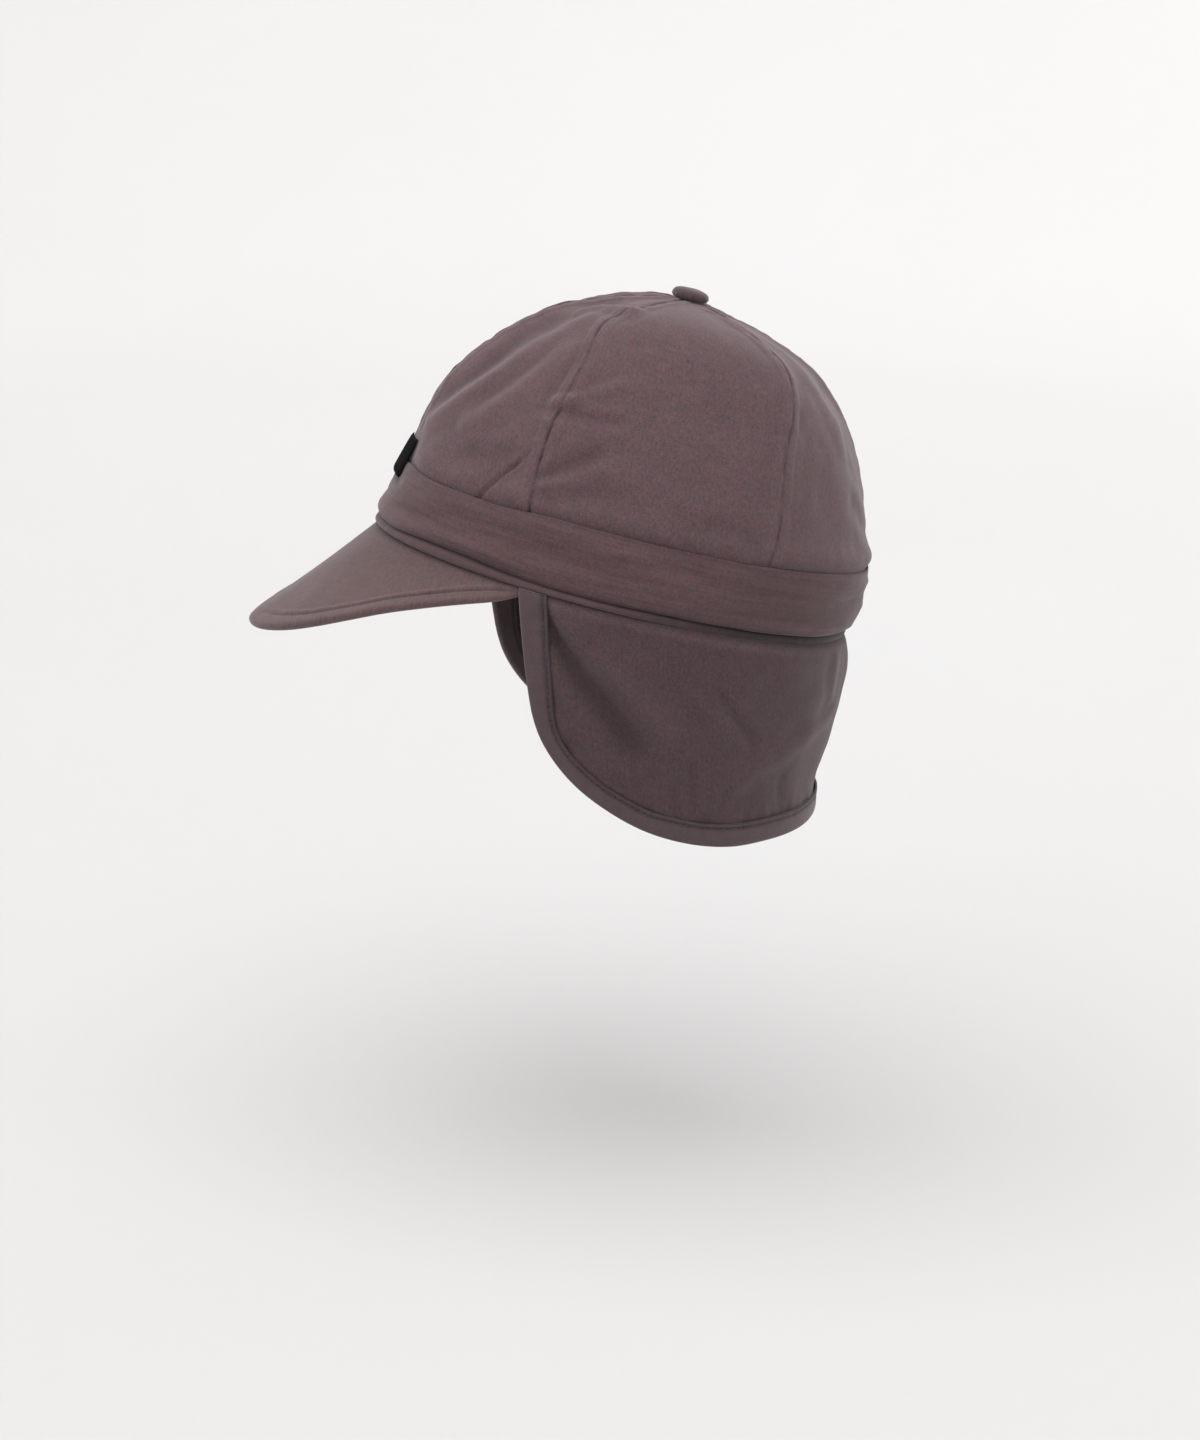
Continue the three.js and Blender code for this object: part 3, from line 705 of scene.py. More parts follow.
@dataclass
class HeadForm:
    """The shape that the whole cap follows: an egg-shaped plan and a table of crown sections."""

    length: float = 197.2
    width: float = 161.0
    front_narrowing: float = 0.05
    crown_height: float = 119.0
    crown_wall: float = 1.5
    worn_tilt: float = 14.3
    panel_ridge: float = 0.07
    ridge_from: float = 0.3
    ridge_full: float = 0.85
    seam_turns: tuple[float, ...] = (0.0, 57.5, 120.0, 180.0, 240.0, 302.5, 360.0)
    seam_leans: Table = table(
        "height front side",
        (0.0, 0.0, 0.0), (30.0, -0.6, -4.6), (41.0, -1.5, -3.0), (55.0, -2.0, -1.9),
        (75.0, -2.5, -0.8), (90.0, -3.6, 2.0), (98.0, -5.8, 3.4), (107.0, -9.5, 5.6),
        (112.5, -7.0, 5.0), (118.6, 0.0, 0.0),
    )
    band_edges: Table = table(
        "turn height",
        (0.0, 29.3), (10.0, 28.9), (20.0, 27.5), (32.0, 27.4), (44.0, 27.7), (52.0, 28.4),
        (60.0, 29.3), (68.0, 30.0), (180.0, 30.0),
    )
    sections: Table = table(
        "height reach spread lean",
        (0.0, 1.0, 1.0, 0.0), (0.126, 0.998, 1.004, 0.025), (0.252, 0.99, 0.998, 0.036),
        (0.353, 0.967, 0.972, 0.032), (0.454, 0.934, 0.935, 0.026), (0.555, 0.891, 0.892, 0.022),
        (0.655, 0.821, 0.845, 0.029), (0.739, 0.74, 0.803, 0.036), (0.815, 0.645, 0.75, 0.041),
        (0.878, 0.54, 0.672, 0.043), (0.924, 0.405, 0.572, 0.04), (0.957, 0.285, 0.44, 0.036),
        (0.981, 0.16, 0.28, 0.031), (0.996, 0.035, 0.055, 0.026),
    )

    def __post_init__(self) -> None:
        """Works out the outer half sizes and the way from heights back to table places."""
        self.half_length = self.length / 2 + self.crown_wall
        self.half_width = self.width / 2 + self.crown_wall
        self.top_place = float(self.sections.columns["place"][-1])
        self._places = np.linspace(0, self.top_place, 1200)
        self._heights = self.sections.read("height", self._places) * self.crown_height

    def plan(self, turn: Array, reach: Array, spread: Array, lean: Array | float = 0.0) -> Array:
        """Point of the egg-shaped plan.

        x = spread sin(turn) (1 - narrowing cos(turn)) and y = lean - reach cos(turn).

        Args:
            turn: angles round the head.
            reach: half length of the plan in millimetres.
            spread: half width of the plan in millimetres.
            lean: how far back its middle lies in millimetres.

        Returns:
            Points at height 0.
        """
        angle = np.radians(turn)
        x = spread * np.sin(angle) * (1.0 - self.front_narrowing * np.cos(angle))
        y = lean - reach * np.cos(angle)
        return np.stack(np.broadcast_arrays(x, y, np.zeros_like(x + y)), axis=-1)

    def band_edge(self, turn: Array) -> Array:
        """Height of the band's upper edge, which dips at the sides of the forehead."""
        return self.band_edges.read("height", from_front(turn), key="turn")

    def place_at(self, height: Array | float) -> Array:
        """Place in the section table at a height above the seam."""
        return np.interp(height, self._heights, self._places)

    def lean(self, turn: Array, height: Array) -> Array:
        """How far the sewn cloth is turned from its even place at a height.

        Each side seam leans by its own column of the table, and the cloth between two seams by the
        straight blend of theirs.

        Args:
            turn: even turns of the cloth.
            height: heights above the seam.

        Returns:
            The leans in degrees.
        """
        front, side = (self.seam_leans.read(name, height, "height") for name in ("front", "side"))
        leans = np.stack([0 * front, front, side, 0 * front, -0.6 * side, -0.8 * front, 0 * front])
        seams = np.array(self.seam_turns)
        around = np.mod(turn, 360.0)[None]
        before = np.concatenate([[seams[0] - 60.0], seams[:-1]]).reshape(-1, *(1,) * turn.ndim)
        after = np.concatenate([seams[1:], [seams[-1] + 60.0]]).reshape(-1, *(1,) * turn.ndim)
        at = seams.reshape(-1, *(1,) * turn.ndim)
        tent = np.minimum((around - before) / (at - before), (after - around) / (after - at))
        return np.sum(np.maximum(tent, 0.0) * leans, axis=0)

    def crown(
        self, turn: Array, place: Array, ridge: float | None = None, is_sewn: bool = True
    ) -> Array:
        """Point of the smooth crown.

        Round the head it is an ellipse of the section's reach and spread on the egg-shaped plan. Between
        two seams it is flattened by the ridge share times 1 - (2 across - 1) squared.

        Args:
            turn: angles round the head.
            place: places in the section table, 0 at the seam.
            ridge: the share by which panels are flattened, if not the cap's own.
            is_sewn: whether the turns go with the cloth, whose seams lean, or with the head.

        Returns:
            Points in the cap's own frame.
        """
        turn, place = np.broadcast_arrays(turn, place)
        reach, spread = (self.sections.read(name, place) for name in ("reach", "spread"))
        shift = self.lean(turn, self.sections.read("height", place) * self.crown_height)
        turned = turn + shift if is_sewn else turn
        angle = np.radians(turned)
        share = 1.0 / np.hypot(np.sin(angle) / spread, np.cos(angle) / reach)
        seams = np.array(self.seam_turns)
        around = np.mod(turn, 360.0)
        panel = np.clip(np.searchsorted(seams, around, side="right") - 1, 0, len(seams) - 2)
        across = (around - seams[panel]) / (seams[panel + 1] - seams[panel])
        height = self.sections.read("height", place)
        ridge = self.panel_ridge if ridge is None else ridge
        flat = smoothstep(height, self.ridge_from, self.ridge_full) * (1.0 - (2.0 * across - 1.0) ** 2)
        size = share * (1.0 - ridge * flat)
        lean = self.sections.read("lean", place) * self.half_length
        point = self.plan(turned, size * self.half_length, size * self.half_width, lean)
        point[..., 2] = height * self.crown_height
        return point

    def beside(self, turn: Array, height: Array, out: Array | float) -> Array:
        """Point beside the crown's foot.

        Args:
            turn: angles round the head.
            height: heights above the seam.
            out: the way out from the crown's cloth.

        Returns:
            Points in the cap's own frame.
        """
        turn, height, out = np.broadcast_arrays(turn, height, out)
        place = self.place_at(np.maximum(height, 0.0))
        reach = self.sections.read("reach", place) * self.half_length + out
        spread = self.sections.read("spread", place) * self.half_width + out
        point = self.plan(turn, reach, spread, self.sections.read("lean", place) * self.half_length)
        point[..., 2] = height
        return point

    def tipped(self, points: Array) -> Array:
        """Points tipped back about X by the worn tilt.

        Args:
            points: points in the cap's own frame.

        Returns:
            Points in the frame of the model.
        """
        angle = math.radians(self.worn_tilt)
        y, z = points[..., 1], points[..., 2]
        turned_y = y * math.cos(angle) + z * math.sin(angle)
        turned_z = z * math.cos(angle) - y * math.sin(angle)
        return np.stack([points[..., 0], turned_y, turned_z], axis=-1)


@dataclass
class Crown:
    """Six sewn panels with their seams, puckers, creases and soft dents."""

    form: HeadForm
    columns: int = 97
    rows: int = 151
    seam_gap: float = 0.01
    ditch_width: float = 0.8
    ditch_depth: float = 0.72
    seam_strength: tuple[float, ...] = (0.9, 1.0, 0.8, 0.7, 0.8, 0.9)
    allowance_width: float = 5.0
    allowance_rise: float = 0.55
    allowance_wall: float = 0.7
    wall_trim: float = 0.25
    pucker: float = 0.5
    pucker_reach: float = 4.0
    dent: float = 1.05
    dent_free: float = 14.0
    gather: float = 1.2
    gather_reach: float = 17.0
    swell: float = 1.1
    swell_height: float = 5.0
    swell_width: float = 4.5
    ditch_shade_tone: float = -0.4
    fold_shading_tone: float = -0.16
    joint_shadow_tone: float = -0.2
    foot_shade_tone: float = -0.06
    inner_tone: float = -0.08
    names: tuple[str, ...] = (
        "front_left", "side_left", "back_left", "back_right", "side_right", "front_right",
    )
    folds: tuple[Fold, ...] = (
        Fold(
            ((50.8, 48.0), (48.4, 42.9), (46.2, 38.2), (44.6, 33.9), (40.5, 23.0)),
            0.7,
            1.2,
            1.2,
            shoulder=0.05,
        ),
        Fold(((54.5, 57.0), (52.6, 52.0), (50.4, 47.0), (47.6, 41.0)), 0.8, 0.28, shoulder=0.05),
        Fold(((54.5, 44.0), (51.8, 37.5), (49.8, 31.0), (48.5, 26.0)), 3.2, -0.4),
        Fold(((56.0, 42.6), (59.0, 45.2), (62.2, 49.3), (65.9, 53.3), (69.8, 61.2)), 1.7, 0.85, 4.8),
        Fold(((57.5, 39.8), (62.1, 43.0), (71.1, 49.8), (80.0, 56.0)), 2.6, -0.65, 6.0),
        Fold(((57.0, 35.5), (59.7, 37.0), (63.5, 39.2), (71.8, 45.0), (79.0, 50.0)), 2.2, 0.6, 5.0),
        Fold(
            ((33.4, 109.6), (34.9, 97.4), (29.3, 84.3), (22.5, 66.0), (13.0, 53.2), (5.4, 44.3)),
            5.2,
            -1.5,
        ),
        Fold(((40.9, 95.9), (40.0, 83.0), (35.3, 66.6), (29.2, 55.8), (25.8, 49.4)), 5.5, -1.2),
        Fold(((38.0, 104.0), (37.0, 90.0), (32.0, 74.0), (25.0, 59.0)), 4.4, 0.9),
        Fold(((18.5, 102.6), (14.9, 91.5), (15.1, 79.8), (13.0, 64.8), (6.2, 48.6)), 5.2, 1.3),
        Fold(
            ((70.0, 87.0), (67.1, 85.0), (62.8, 80.5), (58.5, 76.4), (52.9, 72.4), (50.0, 70.5)),
            2.2,
            -0.8,
        ),
        Fold(((47.5, 68.5), (52.2, 69.1), (59.9, 69.5), (69.3, 70.9), (74.0, 72.0)), 2.4, 0.8),
        Fold(
            ((18.0, 104.5), (22.7, 106.2), (25.3, 108.9), (33.8, 109.7), (51.2, 110.8), (60.0, 111.0)),
            3.4,
            -1.6,
        ),
        Fold(((29.0, 41.0), (36.5, 43.2), (43.9, 47.3), (48.5, 51.0)), 4.0, 0.6),
        Fold(((52.2, 98.0), (50.7, 82.0), (49.6, 70.0)), 3.5, 0.7),
        Fold(
            ((141.8, 114.0), (143.0, 108.0), (148.0, 98.0), (154.0, 86.0), (151.7, 72.0)),
            7.0,
            -1.1,
            shoulder=0.0,
        ),
        Fold(((126.5, 91.0), (124.5, 83.0)), 3.0, 0.35),
        Fold(((150.0, 60.0), (163.0, 45.0), (176.0, 38.0)), 4.5, 0.8),
        Fold(((90.0, 36.0), (101.0, 41.0), (113.0, 38.0)), 5.0, 0.6),
        Fold(((200.0, 92.0), (212.0, 72.0), (218.0, 55.0)), 5.0, 0.9),
        Fold(((246.0, 52.0), (258.0, 42.0), (270.0, 38.0)), 4.5, 0.9, 6.0),
        Fold(((281.0, 44.0), (292.0, 56.0), (299.0, 66.0)), 5.0, 1.0, 3.0),
        Fold(((305.0, 50.0), (311.0, 40.0), (314.0, 31.0)), 2.5, 1.4),
        Fold(((322.0, 96.0), (328.0, 78.0), (338.0, 60.0)), 4.5, 0.9),
        Fold(((345.0, 92.0), (349.0, 70.0), (352.0, 52.0)), 4.5, -0.8),
    )

    def folded(self, turn: Array, height: Array) -> Array:
        """Smooth crown at turns and heights, for the lines of the folds."""
        return self.form.crown(turn, self.form.place_at(height), is_sewn=False)

    def panel(self, number: int, material: bpy.types.Material) -> bpy.types.Object:
        """Builds one panel as a closed shell.

        Its columns lie closer together near the seams. The outer wall is the smooth crown moved along its
        normal by the seam's ditch, the allowance under it, puckers, folds and dents, all of which start
        above the band. The inner wall is the outer one moved in by the wall along the unridged normal.

        Args:
            number: which panel, from the front round by the wearer's left.
            material: its cloth.

        Returns:
            The panel.
        """
        form = self.form
        start, end = form.seam_turns[number], form.seam_turns[number + 1]
        fine = np.linspace(0, form.top_place, 400)
        rise = form.crown(np.array([90.0]), fine)
        length = run_length(rise, 0)
        rise_share = np.linspace(0, 1, self.rows)
        reached = lerp(rise_share, rise_share**2, 0.42) * length[-1]
        place = np.interp(reached, length, fine)[:, None]
        even = np.linspace(0, 1, self.columns)[None, :]
        across = lerp(even, 0.5 - 0.5 * np.cos(np.pi * even), 0.85)
        raw = form.crown(lerp(start, end, across), place)
        wide = run_length(raw, 1)[:, -1:]
        trim = np.minimum(0.5 * self.seam_gap / wide, 0.02)
        turn = lerp(start, end, lerp(trim, 1.0 - trim, across))
        smooth = form.crown(turn, place)
        over = run_length(smooth, 1)
        from_seam = np.minimum(over, over[:, -1:] - over)
        up = run_length(smooth, 0)
        height = smooth[..., 2]
        is_first = np.broadcast_to(across < 0.5, over.shape)
        relief, tone = self.relief(smooth, turn, height, from_seam, up, is_first, number)
        normal = normals_of(form.crown, turn, place, 0.1, 0.01)
        outer = smooth + relief[..., None] * normal
        unridged = normals_of(lambda u, v: form.crown(u, v, 0.0), turn, place, 0.1, 0.01)
        lap = 1.0 - smoothstep(from_seam, self.allowance_width, self.allowance_width + 1.2)
        inner = outer - unridged * (form.crown_wall - self.wall_trim + self.allowance_wall * lap)[..., None]
        middle = up[:, self.columns // 2, None]
        cloth = np.stack([over - over[:, -1:] / 2, np.broadcast_to(middle, over.shape)], axis=-1)
        node = f"crown_panel_{self.names[number]}"
        walls = form.tipped(outer), form.tipped(inner)
        piece = Piece.shell(node + "_cloth", *walls, cloth, tone, self.inner_tone)
        return settle(piece.to_object(material), "crown_cloth", node)

    def relief(
        self,
        points: Array,
        turn: Array,
        height: Array,
        from_seam: Array,
        up: Array,
        is_first: Array,
        number: int,
    ) -> tuple[Array, Array]:
        """How far the cloth stands out from the smooth crown, and its tone.

        It is the rise over the seam's allowance, the puckers beside the seam, the dents away from it and
        the gathers round the button, less the folds, plus the swell over the band, less the seam's ditch.

        Args:
            points: points of the smooth crown.
            turn: their turns.
            height: their heights above the seam.
            from_seam: distance to the nearer seam, along the cloth.
            up: distance up the cloth from its foot.
            is_first: whether the nearer seam is the panel's first one.
            number: which panel.

        Returns:
            The way out in millimetres, and the tone.
        """
        over_band = height - self.form.band_edge(turn)
        above = smoothstep(over_band, -1.0, 4.0)
        seam = np.where(is_first, number, (number + 1) % 6)
        strength = np.array(self.seam_strength)[seam]
        shared = np.stack([up, 31.0 * seam], axis=-1)
        along = np.stack([up, 31.0 * seam + np.where(is_first, 9.0, 0.0)], axis=-1)
        jitter = layered(shared, Seed.SEAM_JITTER, ((5.0, 3.0), 1.0), ((2.0, 3.0), 0.6))
        ditch = strength * bell(from_seam, self.ditch_width) * np.clip(0.75 + 0.5 * jitter, 0.15, 1.3)
        lap = 1.0 - smoothstep(from_seam, self.allowance_width - 1.6, self.allowance_width + 1.0)
        waves = layered(along, Seed.SEAM_PUCKER, ((5.0, 3.0), 1.0), ((2.4, 3.0), 0.7))
        pucker = waves * np.exp(-from_seam / self.pucker_reach) * (1.0 - bell(from_seam, self.ditch_width))
        dents = layered(points, Seed.CROWN_DENT, (34.0, 1.0), (15.0, 0.5), (6.5, 0.24))
        swell = bell(over_band - self.swell_height, self.swell_width)
        swell = swell * (1.0 + 0.6 * soft_noise(points, 16.0, Seed.CROWN_SWELL))
        swell -= 0.5 * bell(over_band, 1.8)
        top_gap = np.linalg.norm(points - points[-1].mean(axis=0), axis=-1)
        rays = soft_noise(np.stack([turn, 0 * turn], axis=-1), (11.0, 1.0), Seed.CROWN_GATHER)
        gather = self.gather * rays * np.exp(-top_gap / self.gather_reach) * smoothstep(top_gap, 6.0, 14.0)
        fold = depth_of(self.folds, points, self.folded)
        relief = above * (
            self.allowance_rise * strength**2 * lap
            + self.pucker * pucker
            + self.dent * dents * smoothstep(from_seam, 0.0, self.dent_free)
            + gather
        )
        relief -= fold * np.where(fold > 0.0, smoothstep(over_band, -3.5, -0.5), above)
        relief += self.swell * swell * smoothstep(over_band, -3.0, 1.0)
        relief -= self.ditch_depth * ditch * smoothstep(over_band, -3.0, 0.0)
        relief = lerp(relief, np.minimum(relief, 0.0), under_label(turn, height))
        # Patchy strength of the painted shadow along the band's top edge, where the crown meets it.
        sewn = 0.6 + 0.6 * soft_noise(points, 12.0, Seed.CROWN_JOINT_SHADOW)
        # Painted shade in the seam's ditch and in fold valleys, and painted highlight on fold ridges.
        tone = self.ditch_shade_tone * ditch + self.fold_shading_tone * np.clip(fold, -0.3, 1.6)
        tone = tone + self.joint_shadow_tone * sewn * bell(over_band, 1.3)
        # Painted highlight on raised puckers; the cloth over the seam allowance is a little lighter too.
        tone += 0.06 * pucker + 0.05 * lap * (1.0 - ditch)
        # Painted shade: darker towards the crown's foot, just above the band.
        tone += self.foot_shade_tone * (1.0 - smoothstep(over_band, 4.0, 45.0))
        return relief, tone

    def build(self) -> list[bpy.types.Object]:
        """Builds the six panels in one cloth."""
        material = CROWN_CLOTH.build()
        return [self.panel(number, material) for number in range(len(self.names))]


@dataclass
class Band:
    """The folded strip round the crown's foot and the rolled seam under it."""

    form: HeadForm
    top: float = 30.0
    wall: float = 2.0
    clearance: float = 0.25
    piping_wall: float = 2.1
    gap: float = 0.3
    stations: int = 960
    ripple: float = 0.62
    pucker: float = 0.16
    edge_shadow_tone: float = -0.25
    under_fold_shade_tone: float = -0.28
    piping_behind: float = 0.36
    low_fold: Table = table(
        "turn low",
        (0, 0.12), (17, 0.12), (31, 0.158), (42, 0.162), (52, 0.13), (60, 0.112), (69, 0.1),
        (80, 0.1), (98, 0.122), (122, 0.118), (150, 0.127), (180, 0.127),
    )
    section: Table = table(
        "round up out",
        (0.0, 0.985, 0.0), (0.03, 1.0, 0.1), (0.06, 0.995, 0.24), (0.1, 0.965, 0.42),
        (0.2, 0.82, 0.7), (0.34, 0.52, 0.96), (0.45, 0.26, 1.15), (0.52, 0.14, 1.2),
        (0.57, 0.06, 1.08), (0.6, 0.015, 0.8), (0.63, 0.0, 0.45), (0.66, 0.02, 0.12),
        (0.7, 0.08, 0.02), (1.0, 0.96, 0.0),
    )

    def __post_init__(self) -> None:
        """Spreads the stations evenly round the seam, starting at the middle of the back."""
        turns = np.linspace(180.0, 540.0, 3601)
        arc = run_length(self.form.beside(turns, 15.0, 0.0), 0)
        self.girth = float(arc[-1])
        self.arc = np.linspace(0, self.girth, self.stations + 1)[:-1]
        self.turn = np.interp(self.arc, arc, turns)

    def low(self, turn: Array) -> Array:
        """Height of the band's lower fold round the head."""
        return self.low_fold.read("low", from_front(turn), key="turn") * self.top

    def build_band(self) -> bpy.types.Object:
        """Builds the band: a closed section carried once round the crown.

        The section is a smooth curve through the table's rows. Outside, the cloth is moved by lengthwise
        ripples: noise whose cells are long round the head and short up it.

        Returns:
            The band.
        """
        spans = [(0.0, 0.1, 9), (0.1, 0.5, 24), (0.5, 0.7, 16), (0.7, 1.0, 6)]
        around = np.concatenate([np.linspace(a, b, n, endpoint=False) for a, b, n in spans])
        up, out = self.section.read("up", around, "round"), self.section.read("out", around, "round")
        ring = np.stack([self.arc, 0 * self.arc], axis=-1)
        low = self.low(self.turn) + 0.35 * soft_noise(ring, (23.0, 1.0), Seed.BAND_LOW)
        high = self.form.band_edge(self.turn) + 0.3 * soft_noise(ring, (17.0, 1.0), Seed.BAND_HIGH)
        height = lerp(low[:, None], high[:, None], up[None, :])
        arc = np.broadcast_to(self.arc[:, None], height.shape)
        flat = np.stack([arc, height], axis=-1)
        slanted = np.stack([arc + 3.0 * height, height - 0.06 * arc], axis=-1)
        ripple = soft_noise(flat, (30.0, 3.4), Seed.BAND_LONG)
        ripple = ripple + 0.8 * soft_noise(slanted, (42.0, 5.0), Seed.BAND_SLANT)
        fine = 0.5 * soft_noise(slanted, (20.0, 2.2), Seed.BAND_FINE_SLANT)
        ripple += fine + 0.3 * soft_noise(flat, (9.0, 2.6), Seed.BAND_SHORT)
        shown = (smoothstep(out, 0.2, 0.7) * (around < 0.62))[None, :]
        shown = shown * (1.0 - under_label(self.turn[:, None], height))
        way = self.clearance + self.wall * out[None, :] + self.ripple * ripple * shown
        puckers = soft_noise(flat, (4.2, 40.0), Seed.BAND_PUCKER) * bell(height - high[:, None], 3.5)
        way = way + self.pucker * puckers * shown
        points = self.form.beside(self.turn[:, None], height, way)
        # Painted shadow along the band's top edge, patchy in strength, and at its lower fold.
        sewn = 0.5 + 0.5 * soft_noise(flat, (14.0, 40.0), Seed.BAND_JOINT_SHADOW)
        edge = 0.6 * sewn * bell(height - high[:, None], 0.9) + bell(height - low[:, None], 1.4)
        # Painted shade on the underside and inner leaf of the section, beneath the lower fold.
        under = smoothstep(around, 0.54, 0.62)[None, :]
        side = from_front(self.turn)[:, None]
        # Painted light on the band's sides, round 75 degrees from the front, and painted shade towards the
        # back.
        worn = 0.05 * bell(side - 75.0, 30.0) - 0.06 * smoothstep(side, 95.0, 130.0)
        # Painted light and shade on the ripples: lighter where they stand out, darker between.
        tone = 0.06 * ripple * shown + self.edge_shadow_tone * edge + self.under_fold_shade_tone * under + worn
        piece = Piece.tube("band_cloth_strip", self.form.tipped(points), flat, tone, self.girth)
        return settle(piece.to_object(BAND_CLOTH.build()), "band_cloth", "band")

    def build_piping(self) -> bpy.types.Object:
        """Builds the rolled seam: half a soft oval from the seam line up to the band's lower fold.

        Its lower lip hangs over the cloth that is sewn in under it.

        Returns:
            The rolled seam.
        """
        top = self.low(self.turn) - self.gap + 0.35
        around = np.linspace(0, 1, 26)
        angle = np.pi * around
        bulge = np.sin(angle) ** 0.62 * (1.0 - 0.5 * smoothstep(around, 0.45, 0.75))
        share = 0.5 - 0.5 * np.sign(np.cos(angle)) * np.abs(np.cos(angle)) ** 0.8
        arc = np.broadcast_to(self.arc[:, None], (self.stations, len(around)))
        flat = np.stack([arc, arc * 0], axis=-1)
        crimp = layered(flat, Seed.PIPING_CRIMP, ((3.2, 1.0), 1.0), ((11.0, 1.0), 0.6))
        behind = smoothstep(from_front(self.turn), 72.0, 120.0)[:, None]
        size = self.piping_wall * lerp(1.0, self.piping_behind, behind)
        way = self.clearance + size * bulge[None, :] * (0.97 + 0.06 * crimp)
        lip = 0.3 * (1.0 - bulge) * (share < 0.5)
        height = lerp(-0.25, top[:, None], share[None, :]) + lip[None, :]
        points = self.form.beside(self.turn[:, None], height, way)
        points[..., 2] = height
        # Painted shade: darker towards the edges of the roll, on its upper half under the band's lower
        # fold, and towards the back, where the roll lies in the fold's shadow; a little painted light on
        # the crimps.
        shade = 0.12 * (1.0 - bulge) ** 1.5 + 0.4 * smoothstep(around, 0.58, 0.8)
        tone = 0.04 * crimp - shade[None, :] - 0.6 * behind
        cloth = np.stack([arc, height], axis=-1)
        piece = Piece.tube("seam_piping_roll", self.form.tipped(points), cloth, tone, self.girth)
        return settle(piece.to_object(PIPING_CLOTH.build()), "piping_cloth", "seam_piping")


@dataclass
class Peak:
    """The short stiff peak: cloth drawn over a board, with a rolled rim."""

    form: HeadForm
    reach: float = 44.3
    drop: float = 51.5
    spread: float = 62.6
    oval: float = 1.75
    lip: float = 1.0
    wall: float = 3.4
    arch: float = -0.8
    gap: float = 0.12
    rim: float = 9.4
    roll: float = 0.4
    ditch_depth: float = 0.38
    crimp: float = 0.12
    ditch_shade_tone: float = -0.2
    root_shade_tone: float = -0.2
    columns: int = 361
    leaf_rows: int = 70
    fall: Table = table(
        "round down",
        (0.0, 0.996), (0.1, 0.988), (0.2, 0.946), (0.3, 0.87), (0.4, 0.758), (0.5, 0.62),
        (0.6, 0.474), (0.7, 0.346), (0.8, 0.234), (0.9, 0.138), (1.0, 0.04),
    )

    def top(self, turn: Array, up: Array) -> Array:
        """Point of the peak's upper side.

        Its outer edge is a pointed oval in plan, corner plus sin or cos to the power 2 / oval, and falls
        by the table. Its root is the crown's own plan, and it is straight between them but for the arch.

        Args:
            turn: turns of the root, from one corner to the other.
            up: 0 on the outer edge and 1 on the root.

        Returns:
            Points in the cap's own frame.
        """
        form = self.form
        turn, up = np.broadcast_arrays(turn, up)
        root = form.plan(turn, form.half_length, form.half_width)
        root[..., 2] = -self.gap
        corner = form.plan(np.array(self.spread), form.half_length, form.half_width)
        share = np.minimum(np.abs(turn) / self.spread, 1.0)
        angle = share * np.pi / 2
        power = 2.0 / self.oval
        x = np.sign(turn) * (corner[0] + self.lip) * np.sin(angle) ** power
        y = lerp(corner[1], -(form.half_length + self.reach), np.maximum(np.cos(angle), 0.0) ** power)
        z = -self.gap - self.fall.read("down", share, "round") * self.drop
        edge = np.stack([x, y, z], axis=-1)
        point = lerp(edge, root, up[..., None])
        arch = self.arch * (1.0 - share**2) * 4.0 * up * (1.0 - up)
        slope = math.hypot(self.drop, self.reach)
        point[..., 1] -= arch * self.drop / slope
        point[..., 2] += arch * self.reach / slope
        return point

    def build(self) -> bpy.types.Object:
        """Builds the peak as one closed strip: upper leaf, rounded rim, lower leaf.

        Down the upper leaf it follows the top surface to half a wall from the edge, then turns round half
        a circle of half the wall, and comes back along the lower leaf one wall below.

        Returns:
            The peak.
        """
        turn = np.linspace(-1, 1, self.columns)
        turn = (self.spread * (0.8 * turn + 0.2 * np.sin(turn * np.pi / 2)))[:, None]
        depth = np.linalg.norm(self.top(turn, np.ones_like(turn)) - self.top(turn, 0 * turn), axis=-1)
        half = self.wall / 2
        bend = np.minimum(half / depth, 0.45)
        leaf = np.linspace(1.0, 0.0, self.leaf_rows) ** 1.15
        round_rim = np.linspace(0.0, np.pi, 15)[1:-1]
        up = np.concatenate(
            [
                lerp(bend, 1.0, leaf[None, :]),
                np.repeat(bend, len(round_rim), axis=1),
                lerp(bend, 1.0, leaf[None, ::-1]),
            ],
            axis=1,
        )
        swing = np.concatenate([0 * leaf, round_rim, np.pi + 0 * leaf])[None, :]
        turns = np.broadcast_to(turn, up.shape)
        base = self.top(turns, up)
        normal = normals_of(self.top, turns, np.clip(up, 0.02, 0.98), 0.05, 0.01)
        outward = unit(self.top(turns, up - 0.01) - self.top(turns, up + 0.01))
        face = np.cos(swing)[..., None] * normal + np.sin(swing)[..., None] * outward
        points = base - half * normal + half * face
        from_edge = up * depth + half * (1.0 - np.sin(swing))
        on_top = np.cos(swing) > 0.0
        line = self.rim * (1.0 - np.exp(-depth / 9.0))
        ditch = bell(from_edge - line, 0.75) * np.where(on_top, 1.0, 0.6)
        flat = np.stack([points[..., 0], points[..., 1]], axis=-1)
        crimp = soft_noise(flat, 4.0, Seed.PEAK_CRIMP) * bell(from_edge - line, 3.0)
        beside = bell(from_edge - line - 1.8, 1.3)
        roll = bell(from_edge - 0.5 * line, 0.3 * line) * self.roll + self.roll * beside
        sway = layered(flat, Seed.PEAK_SWAY, (27.0, 0.42), (10.0, 0.2))
        inside = smoothstep(up, 0.0, 0.25) * (1.0 - smoothstep(up, 0.9, 1.0))
        relief = np.where(on_top, roll, 0.3 * roll) - self.ditch_depth * ditch
        relief = relief + self.crimp * crimp + sway * inside
        room = smoothstep(depth, 1.0, 9.0)
        points = points + (relief * room)[..., None] * face
